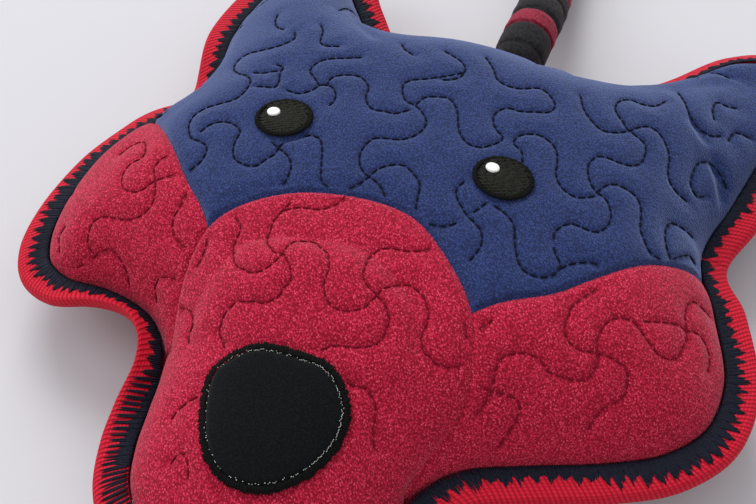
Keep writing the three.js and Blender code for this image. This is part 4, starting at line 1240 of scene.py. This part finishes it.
def laid_threads(name, starts, ends, thickness, material, sides=6, rings=4):
    """One thread from each start to its end, in millimetres on the plan"""
    starts, ends = to_row(starts), to_row(ends)
    mesh = bpy.data.meshes.new(name + "_places")
    mesh.from_pydata([tuple(p) for p in (starts + ends) / 2], [], [])
    aims = ends - starts
    spans = np.linalg.norm(aims, axis=1)
    aims /= spans[:, None]
    aim = mesh.attributes.new("aim", "FLOAT_VECTOR", "POINT")
    aim.data.foreach_set("vector", aims.astype(np.float32).ravel())
    span = mesh.attributes.new("span", "FLOAT", "POINT")
    span.data.foreach_set("value", spans.astype(np.float32))
    places = bpy.data.objects.new(name + "_places", mesh)
    bpy.context.collection.objects.link(places)
    modifier = places.modifiers.new("threads", "NODES")
    modifier.node_group = THREADS
    settings = {"Thickness": thickness * MM, "Sides": sides, "Rings": rings, "Material": material}
    for socket, value in settings.items():
        modifier[THREAD_SOCKETS[socket]] = value
    evaluated = places.evaluated_get(bpy.context.evaluated_depsgraph_get())
    made = bpy.data.meshes.new_from_object(evaluated)
    made.name = name
    if not made.materials:
        made.materials.append(material)
    piece = bpy.data.objects.new(name, made)
    bpy.context.collection.objects.link(piece)
    bpy.data.objects.remove(places)
    bpy.data.meshes.remove(mesh)
    return piece


def quilt_stitches(name, panel, inside, box, material, thickness, back=False):
    """Stitches 2.84 mm long, one to every 3.1 mm, in the bottom of a panel's quilting"""
    half_step, half_stitch = 1.55, 1.42
    starts, ends = [], []
    loops = [(line, False) for line in quilting[panel].lines(*box)]
    for line, shown in loops + ([] if back else [(line, True) for line in row_lines]):
        if len(line) < 8:
            continue
        points, _ = resampled(line, half_step, False)
        count = len(points) // 2
        first, second = points[0:2 * count:2], points[1:2 * count:2]
        aim = second - first
        aim /= np.linalg.norm(aim, axis=1)[:, None]
        middle = (second + first) / 2
        chosen = inside(middle)
        if not back and not shown:
            chosen &= to_rows(middle) > LOOPS_START
        starts.append((middle - aim * half_stitch)[chosen])
        ends.append((middle + aim * half_stitch)[chosen])
    sink = BACK_STITCH_SINK if back else FRONT_STITCH_SINK
    start_points, _ = surface(np.vstack(starts), sink, back)
    end_points, _ = surface(np.vstack(ends), sink, back)
    return laid_threads(name, start_points, end_points, thickness, material)


# Putting the pieces together


def panel_box(net, faces):
    points = net.points[net.faces[faces]].reshape(-1, 2)
    return points.min(axis=0), points.max(axis=0)


def ear_blend(piece, side):
    start, end, _, outward = ear_frame(side)
    middle = (start + end) / 2
    fold = to_row([(*middle, EAR_FOLD_HEIGHT), (*(middle + outward * EAR_FOLD_LENGTH), EAR_FOLD_HEIGHT)])
    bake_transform(piece)


def finish_piece(piece, ear=None, stands_for=()):
    """Attaches a head piece to the head body, bakes an ear piece's place into its mesh, and hides the solids
    that the piece stands for
    """
    if ear:
        ear_blend(piece, ear)
    else:
        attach(piece, "head")
    if stands_for:
        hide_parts(*stands_for)


front, front_panels, front_vertices = make_front(FRONT_STEP)
FRONT_LOOKS = {
    "forehead": (NAVY, "navy_plush", "forehead_panel"),
    "cheek_left": (CRIMSON, "crimson_plush", "cheek_panel_left"),
    "cheek_right": (CRIMSON, "crimson_plush", "cheek_panel_right"),
    "muzzle": (CRIMSON, "crimson_plush", "muzzle_panel"),
    "ear_left": (NAVY, "navy_plush", "ear_front_left"),
    "ear_right": (NAVY, "navy_plush", "ear_front_right"),
}


def in_front_panel(panel):
    """A test for places on one panel of the front, clear of its seams and of the patches sewn on it"""

    def inside(p):
        muzzle = to_muzzle(p)
        right = np.where(p[:, 0] > 0, right_line.reach(p), -99)
        left = np.where(p[:, 0] < 0, left_line.reach(p), -99)
        on_left_ear, on_right_ear = ear_reach("left")(p) > 0, ear_reach("right")(p) > 0
        on_head = ~on_left_ear & ~on_right_ear
        clear = EDGE_FIELDS["edge"](p) > SEAM_GAP
        for line in (nose_line, *eye_lines.values()):
            clear &= line.reach(p) < -PATCH_GAP
        if panel == "muzzle":
            return clear & (muzzle > SEAM_GAP)
        panels = {
            "ear_left": on_left_ear,
            "ear_right": on_right_ear,
            "cheek_right": on_head & (right > SEAM_GAP),
            "cheek_left": on_head & (left > SEAM_GAP),
            "forehead": on_head & (right < -SEAM_GAP) & (left < -SEAM_GAP),
        }
        return clear & (muzzle < -SEAM_GAP) & panels[panel]
    return inside


for panel, (material, slot, stands_for) in FRONT_LOOKS.items():
    ear = panel[4:] if panel.startswith("ear") else None
    piece = cloth_piece(panel + "_plush", front, front_panels[panel], front_vertices, material)
    finish_piece(piece, ear, stands_for=(stands_for,))
    thread_material = NAVY_THREAD if material is NAVY else CRIMSON_THREAD
    box = panel_box(front, front_panels[panel])
    stitches = quilt_stitches(panel + "_quilting", panel, in_front_panel(panel), box, thread_material,
                              0.74 if material is NAVY else 0.64)
    finish_piece(stitches, ear)


def make_back(step):
    net = head_net(step, EDGE_FIELDS)
    net.part("edge")
    net.keep(net.side("edge"))
    net.part("ear_left")
    net.part("ear_right")
    net.faces = net.faces[:, ::-1]
    panels = {"ear_left": net.side("ear_left"), "ear_right": net.side("ear_right")}
    panels["back"] = ~(panels["ear_left"] | panels["ear_right"])
    rise = height(net.points, net.values["edge"] + CLOTH_EDGE, back=True)
    base = np.column_stack([net.points, SEAM_HEIGHT - CLOTH_LIFT - rise])
    normals = face_normals_at_points(base, net.faces)
    quilted = np.zeros(len(base))
    for panel, faces in panels.items():
        members = np.unique(net.faces[faces])
        quilted[members] = groove(quilting[panel].distance(net.points[members]), BACK_SHARP, BACK_SOFT)
    fade = smooth_step(net.values["edge"], 0.3, 3.0)
    vertices = base - normals * (quilted * fade)[:, None]
    vertices[:, 2] = np.clip(vertices[:, 2], 0.05, SEAM_HEIGHT - CLOTH_LIFT)
    return net, panels, vertices


back, back_panels, back_vertices = make_back(BACK_STEP)
for panel, material, slot, stands_for in (("back", CRIMSON, "crimson_plush", "back_panel"),
                                          ("ear_left", NAVY, "navy_plush", "ear_back_left"),
                                          ("ear_right", NAVY, "navy_plush", "ear_back_right")):
    ear = panel[4:] if panel.startswith("ear") else None
    name = stands_for.replace("_panel", "")
    piece = cloth_piece(name + "_plush", back, back_panels[panel], back_vertices, material)
    finish_piece(piece, ear, stands_for=(stands_for,))

    def inside(p, panel=panel):
        ears = {"ear_left": ear_reach("left")(p) > 0, "ear_right": ear_reach("right")(p) > 0}
        ears["back"] = ~(ears["ear_left"] | ears["ear_right"])
        return ears[panel] & (EDGE_FIELDS["edge"](p) > BACK_GAP)

    stitches = quilt_stitches(name + "_quilting", panel, inside, panel_box(back, back_panels[panel]),
                              NAVY_THREAD if ear else CRIMSON_THREAD, 0.6, back=True)
    finish_piece(stitches, ear)


# Tape round the edge


def crossings():
    """Where the head's edge passes each ear's root line, as lengths along the edge"""
    points, lengths = head_line.points, head_line.lengths
    cuts = []
    for side in EAR_ROOTS:
        value = ear_reach(side)(points)
        other = np.roll(value, -1)
        for i in np.nonzero((value > 0) != (other > 0))[0]:
            cuts.append(lengths[i])
    return sorted(cuts)


def tape_section(rows):
    """The folded tape's outline: depth from the rim, and height over the seam"""
    slot = TAPE_HALF - TAPE_THICKNESS
    slot_start = TAPE_THICKNESS + 0.3
    nose_depth, bulge = 2.6, 0.25
    rim = []
    for turn in np.linspace(math.pi / 2, -math.pi / 2, 15):
        sine = math.sin(turn)
        rim.append((nose_depth * (1 - math.cos(turn)), TAPE_HALF * math.copysign(abs(sine) ** 0.8, sine)))
    top = [(d, TAPE_HALF + bulge * math.sin(math.pi * (d - nose_depth) / (TAPE_WIDTH - nose_depth)))
           for d in np.linspace(TAPE_WIDTH, nose_depth, rows, endpoint=False)]
    bottom = [(d, -z) for d, z in reversed(top)]
    inner = [(TAPE_WIDTH, -slot), (slot_start, -slot), (slot_start, slot), (TAPE_WIDTH, slot)]
    return top + rim + bottom + inner


EDGE_LENGTH = head_line.lengths[-1] + LINE_STEP


def edge_at(lengths):
    """Points on the head's edge and the inward directions there"""
    at = np.mod(lengths, EDGE_LENGTH)
    index = at / EDGE_LENGTH * len(head_line.points)
    low = np.floor(index).astype(int) % len(head_line.points)
    high = (low + 1) % len(head_line.points)
    share = (index - np.floor(index))[:, None]
    points = head_line.points[low] * (1 - share) + head_line.points[high] * share
    inward = sum(head_line.inward[(low + k) % len(head_line.points)] for k in range(-10, 11))
    return points, inward / np.linalg.norm(inward, axis=1)[:, None]


def make_tape(name, start, end):
    section = np.array(tape_section(6))
    count = max(8, int(end - start))
    lengths = np.linspace(start, end, count + 1)
    points, inward = edge_at(lengths)
    n = len(section)
    vertices = np.empty((count + 1, n, 3))
    for k, (depth, rise) in enumerate(section):
        vertices[:, k, :2] = points + inward * depth
        vertices[:, k, 2] = SEAM_HEIGHT + rise
    vertices = vertices.reshape(-1, 3)
    faces = []
    for i in range(count):
        for k in range(n):
            a, b = i * n + k, i * n + (k + 1) % n
            faces.append((a, b, b + n, a + n))
    faces.append(tuple(range(n - 1, -1, -1)))
    faces.append(tuple(count * n + k for k in range(n)))
    tape = new_piece(name, to_row(vertices), faces, WEBBING)
    girth = np.concatenate([[0], np.cumsum(np.linalg.norm(np.diff(section, axis=0), axis=1))])
    add_uv(tape, np.column_stack([np.repeat(lengths, n), np.tile(girth, count + 1)]))
    return tape


def stitch_reach(lengths):
    """How far from the rim the overcast stitches begin: mostly half way, nearer at the named places"""
    middle, _ = edge_at(lengths)
    depth = 5.7 + 0.5 * np.sin(lengths / 37.0) + 0.35 * np.sin(lengths / 11.0 + 1.0)
    for centre, reach, nearer in STITCH_PLACES:
        depth -= nearer * np.exp(-(np.linalg.norm(middle - centre, axis=1) / reach) ** 2)
    return depth


def whip_stitches(name, start, end, seed):
    """Overcast stitches in fans, each drawn to a point on the tape, over a dense band next to the cloth"""
    pitch, thickness, end_gap = 0.5, 0.85, 0.3
    narrowest_fan, widest_fan = 3.2, 4.8
    loose_slant, loose_reach, past_cloth = 2.2, 2.4, 0.4
    rng = np.random.default_rng(seed)
    lengths = np.arange(start + end_gap, end - end_gap, pitch)
    widths = rng.uniform(narrowest_fan, widest_fan, int((end - start) / narrowest_fan) + 3)
    ends_at = start + np.cumsum(widths)
    fan = np.searchsorted(ends_at, lengths)
    off = (lengths - ends_at[fan] + widths[fan]) / widths[fan] * 2 - 1
    uneven = rng.uniform(-0.7, 0.7, len(widths))[fan]
    here, _ = edge_at(lengths)
    loose = np.linalg.norm(here - LOOSE_PLACE, axis=1) < LOOSE_REACH
    kept = ~loose | (np.arange(len(lengths)) % 4 < 2)
    dense = ~(loose & (here[:, 1] < LOOSE_LINE))
    starts, ends = [], []
    for sign in (1, -1):
        base = stitch_reach(lengths)
        reach = base - 1.1 + uneven + 1.9 * np.abs(off - 0.25) + rng.normal(0, 0.4, len(lengths))
        slant = np.where(loose, loose_slant, 0.7 + off * widths[fan] * 0.15)
        point, inward = edge_at(lengths - slant + rng.normal(0, 0.12, len(lengths)))
        reach = np.where(loose, loose_reach + rng.normal(0, 0.35, len(lengths)), reach)
        outer = point + inward * np.clip(reach, 1.6, TAPE_WIDTH - 1)[:, None]
        point, inward = edge_at(lengths + 0.5)
        inner = point + inward * (TAPE_WIDTH + past_cloth)
        rise = TAPE_HALF + 0.16 + rng.uniform(-0.08, 0.1, len(lengths))
        starts.append(np.column_stack([outer, SEAM_HEIGHT + sign * (rise - 0.12)])[kept])
        ends.append(np.column_stack([inner, SEAM_HEIGHT + sign * (rise + 0.2)])[kept])
        near = np.minimum(base + 1.5 + rng.normal(0, 0.3, len(lengths)), TAPE_WIDTH - 1.2)
        near = np.where(loose, near + 1.7, near)
        point, inward = edge_at(lengths + 0.1)
        band = point + inward * near[:, None]
        starts.append(np.column_stack([band, SEAM_HEIGHT + sign * (rise - 0.16)])[dense])
        ends.append(np.column_stack([inner + inward * 0.2, SEAM_HEIGHT + sign * (rise + 0.1)])[dense])
    return laid_threads(name, np.vstack(starts), np.vstack(ends), thickness, WHIP_THREAD, 5, 4)


def taped(name, start, end, seed, ear=None):
    """One run of tape with its stitches, in place of the solid of the same name"""
    finish_piece(make_tape(name + "_woven", start, end), ear, stands_for=(name,))
    finish_piece(whip_stitches(name + "_stitches", start, end, seed), ear)


cuts = crossings()
for run, start in enumerate(cuts):
    end = cuts[(run + 1) % len(cuts)]
    end = end if end > start else end + EDGE_LENGTH
    middle, _ = edge_at(np.array([(start + end) / 2]))
    ear = next((side for side in EAR_ROOTS if ear_reach(side)(middle)[0] > 0), None)
    if ear:
        taped("ear_tape_" + ear, start, end, run, ear)
    elif middle[0][1] < 60:
        taped("edge_tape_face", start, end, run)
    else:
        # the top run is open where the rope goes in
        exit_point = head_line.near(np.array([[TAIL_PIVOT[0], TAIL_EXIT_Y]]))[0][0]
        at = head_line.lengths[exit_point]
        at = at + EDGE_LENGTH if at < start else at
        gap = ROPE_DIAMETER / 2 + TAIL_ROOM
        for part_start, part_end in ((start, at - gap), (at + gap, end)):
            middle, _ = edge_at(np.array([(part_start + part_end) / 2]))
            side = "right" if middle[0][0] > TAIL_PIVOT[0] else "left"
            taped("edge_tape_top_" + side, part_start, part_end, 20 + run)


# Nose and eyes


def patch_top(line, inset_by, rise, dome, name, material, step=0.6, round_edge=0.9):
    """A sewn-on patch inside a line, following the cloth under it, with its edge tucked down"""
    points, faces = lattice(line.points.min(axis=0) - 1, line.points.max(axis=0) + 1, step)
    net = Net(points, faces, {"inside": lambda p: line.reach(p) - inset_by})
    net.part("inside")
    net.keep(net.side("inside"))
    depth = net.values["inside"]
    base, normals = surface(net.points)
    tuck = np.exp(-(depth / round_edge) ** 2)
    lift = rise + dome * (1 - np.exp(-depth / 5)) - (rise + 0.4) * tuck
    vertices = base + normals * lift[:, None]
    return walled(new_piece(name, to_row(vertices), net.faces, material), 0.5)


def satin_border(name, line, width, thickness, pitch, material, seed, ragged, thread_width):
    """Satin stitches side by side across a border, with a slightly uneven outer edge"""
    rng = np.random.default_rng(seed)
    points, _ = resampled(line.points, pitch, True)
    index, _ = line.near(points)
    inward = line.inward[index]
    outer = points - inward * (0.2 + ragged * rng.uniform(-0.6, 1.0, len(points)))[:, None]
    inner = points + inward * (width + rng.uniform(-0.15, 0.15, len(points)))[:, None]
    a, na = surface(outer)
    b, nb = surface(inner)
    lift = (thickness + rng.uniform(-0.1, 0.1, len(points)))[:, None]
    return laid_threads(name, a + na * (lift * 0.5), b + nb * lift, thread_width, material, 6, 5)


nose_felt = patch_top(nose_line, 1.3, 0.8, 0.6, "nose_felt", FELT)
finish_piece(nose_felt, stands_for=("nose_patch",))
nose_satin = satin_border("nose_satin", nose_line, 1.9, 0.7, 0.34, BLACK_THREAD, 1, 0.5, 0.65)
finish_piece(nose_satin, stands_for=("nose_border",))


def sparkle_row(name, line, depth, pitch, material, seed):
    """A thin row of pale stitches just inside the border, a painted glint on the black satin, sparser on one
    side where the glint is fainter
    """
    rng = np.random.default_rng(seed)
    points, _ = resampled(line.points, pitch, True)
    index, _ = line.near(points)
    inward = line.inward[index]
    along = np.column_stack([inward[:, 1], -inward[:, 0]])
    centre = points + inward * (depth + rng.normal(0, 0.16, len(points)))[:, None]
    # painted glint: fewer stitches are kept on the side where the glint is fainter
    faint_glint = np.clip(0.55 - 0.5 * (inward @ np.array([-0.86, -0.5])), 0.12, 0.95)
    kept = rng.random(len(points)) < 1 - 0.8 * faint_glint
    skew = inward * rng.normal(0, 0.1, len(points))[:, None]
    a, na = surface((centre - along * pitch * 0.4)[kept])
    b, nb = surface((centre + along * pitch * 0.4 + skew)[kept])
    return laid_threads(name, a + na * 1.2, b + nb * 1.2, 0.24, material, 4, 3)


nose_row = sparkle_row("nose_stitch_row", nose_line, 2.2, 0.5, GLINT_THREAD, 2)
finish_piece(nose_row)


def eye_rows(side):
    """Rows of embroidery across an eye, each of a few stitches end to end"""
    x, middle_y = EYE_PLACES[side]
    rng = np.random.default_rng(7)
    starts, ends = [], []
    for y in np.arange(-EYE_LENGTH / 2 + 1.2, EYE_LENGTH / 2 - 1.1, 0.36):
        half = (EYE_WIDTH / 2 - 1.0) * math.sqrt(max(0, 1 - (y / (EYE_LENGTH / 2 - 0.8)) ** 2))
        at = -half + rng.uniform(0, 1.5)
        while at < half - 0.8:
            to = min(half, at + rng.uniform(2.2, 3.4))
            starts.append((x + at, middle_y + y))
            ends.append((x + to, middle_y + y + 0.1))
            at = to + 0.05
    a, na = surface(starts)
    b, nb = surface(ends)
    return laid_threads(f"eye_{side}_rows", a + na * 0.68, b + nb * 0.68, 0.6, OLIVE_THREAD, 5, 4)


for side, line in eye_lines.items():
    disc = patch_top(line, 0.6, 0.6, 0.3, f"eye_{side}_satin", OLIVE_THREAD, 0.5)
    finish_piece(disc, stands_for=(f"eye_{side}",))
    ring = satin_border(f"eye_{side}_border", line, 1.4, 0.5, 0.42, BLACK_THREAD, 4, 0.2, 0.9)
    finish_piece(ring)
    finish_piece(eye_rows(side))
    glint = ellipse_line(*GLINT_PLACES[side], GLINT_WIDTH, GLINT_LENGTH)
    cap = patch_top(glint, 0.0, 1.35, 0.2, f"eye_{side}_glint", WHITE_THREAD, 0.25, 0.2)
    finish_piece(cap, stands_for=(f"eye_highlight_{side}",))


# What stays from the solid model: the squeaker, the tail's anchor and the fillings' forms


def carried(names, material):
    """Solids that are shown as they are, in a material of their own"""
    for name in names:
        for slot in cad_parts[name].material_slots:
            slot.material = material


def settled_filling(node_name, ear=None):
    """The filling's own form, moved with the soft edge round it and thinner along the ears' folds"""
    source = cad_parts[node_name]
    count = len(source.data.vertices)
    flat = np.empty(count * 3, dtype=np.float32)
    source.data.vertices.foreach_get("co", flat)
    points = flat.reshape(-1, 3).astype(float) / MM
    points[:, :2] -= SHIFT
    for side in EAR_ROOTS:
        from_fold = ear_reach(side)(points[:, :2]) - EAR_FOLD_LENGTH / 2
        thinner = 1 - FOLD_THINNING * np.exp(-(from_fold / FOLD_THINNING_REACH) ** 2)
        points[:, 2] = SEAM_HEIGHT + (points[:, 2] - SEAM_HEIGHT) * thinner
    rounded, index = np.unique(np.round(points, 3), axis=0, return_inverse=True)
    index = index.ravel()
    faces = [tuple(index[i] for i in polygon.vertices) for polygon in source.data.polygons]
    faces = [face for face in faces if len(set(face)) == len(face)]
    piece = new_piece(node_name + "_fibre", to_row(rounded), faces, FIBRE, False)
    finish_piece(piece, ear, stands_for=(node_name,))


for filling_name, ear_side in (("filling_front", None), ("filling_back", None), ("ear_filling_left", "left"),
                               ("ear_filling_right", "right")):
    settled_filling(filling_name, ear_side)
carried(["squeaker_bulb", "squeaker_reed"], VINYL)
carried(["tail_anchor"], BLACK_THREAD)


# Floor, world and lamps


def make_floor():
    material, _, shader = node_set("floor_paper", 0.9)
    shader.inputs["Base Color"].default_value = (0.65, 0.647, 0.687, 1)
    half = 3.0
    corners = [(-half, -half, 0), (half, -half, 0), (half, half, 0), (-half, half, 0)]
    new_piece("floor", corners, [(0, 1, 2, 3)], material)


def make_lamp(name, where, size, power):
    """A square lamp turned towards the toy"""
    data = bpy.data.lights.new(name, "AREA")
    data.shape = "SQUARE"
    data.size = size
    data.energy = power
    lamp = bpy.data.objects.new(name, data)
    lamp.location = where
    lamp.rotation_euler = Vector(where).to_track_quat("Z", "Y").to_euler()
    bpy.context.collection.objects.link(lamp)


def make_world():
    world = bpy.data.worlds.new("studio")
    world.use_nodes = True
    light = world.node_tree.nodes["Background"]
    light.inputs["Color"].default_value = (1, 1, 1, 1)
    light.inputs["Strength"].default_value = WORLD_STRENGTH
    bpy.context.scene.world = world


make_floor()
make_world()
make_lamp("key", (-1.4, 2.1, 2.3), size=1.8, power=70)
make_lamp("fill", (-2.6, -0.5, 1.9), size=1.5, power=22)

bpy.context.scene.view_settings.view_transform = "Standard"
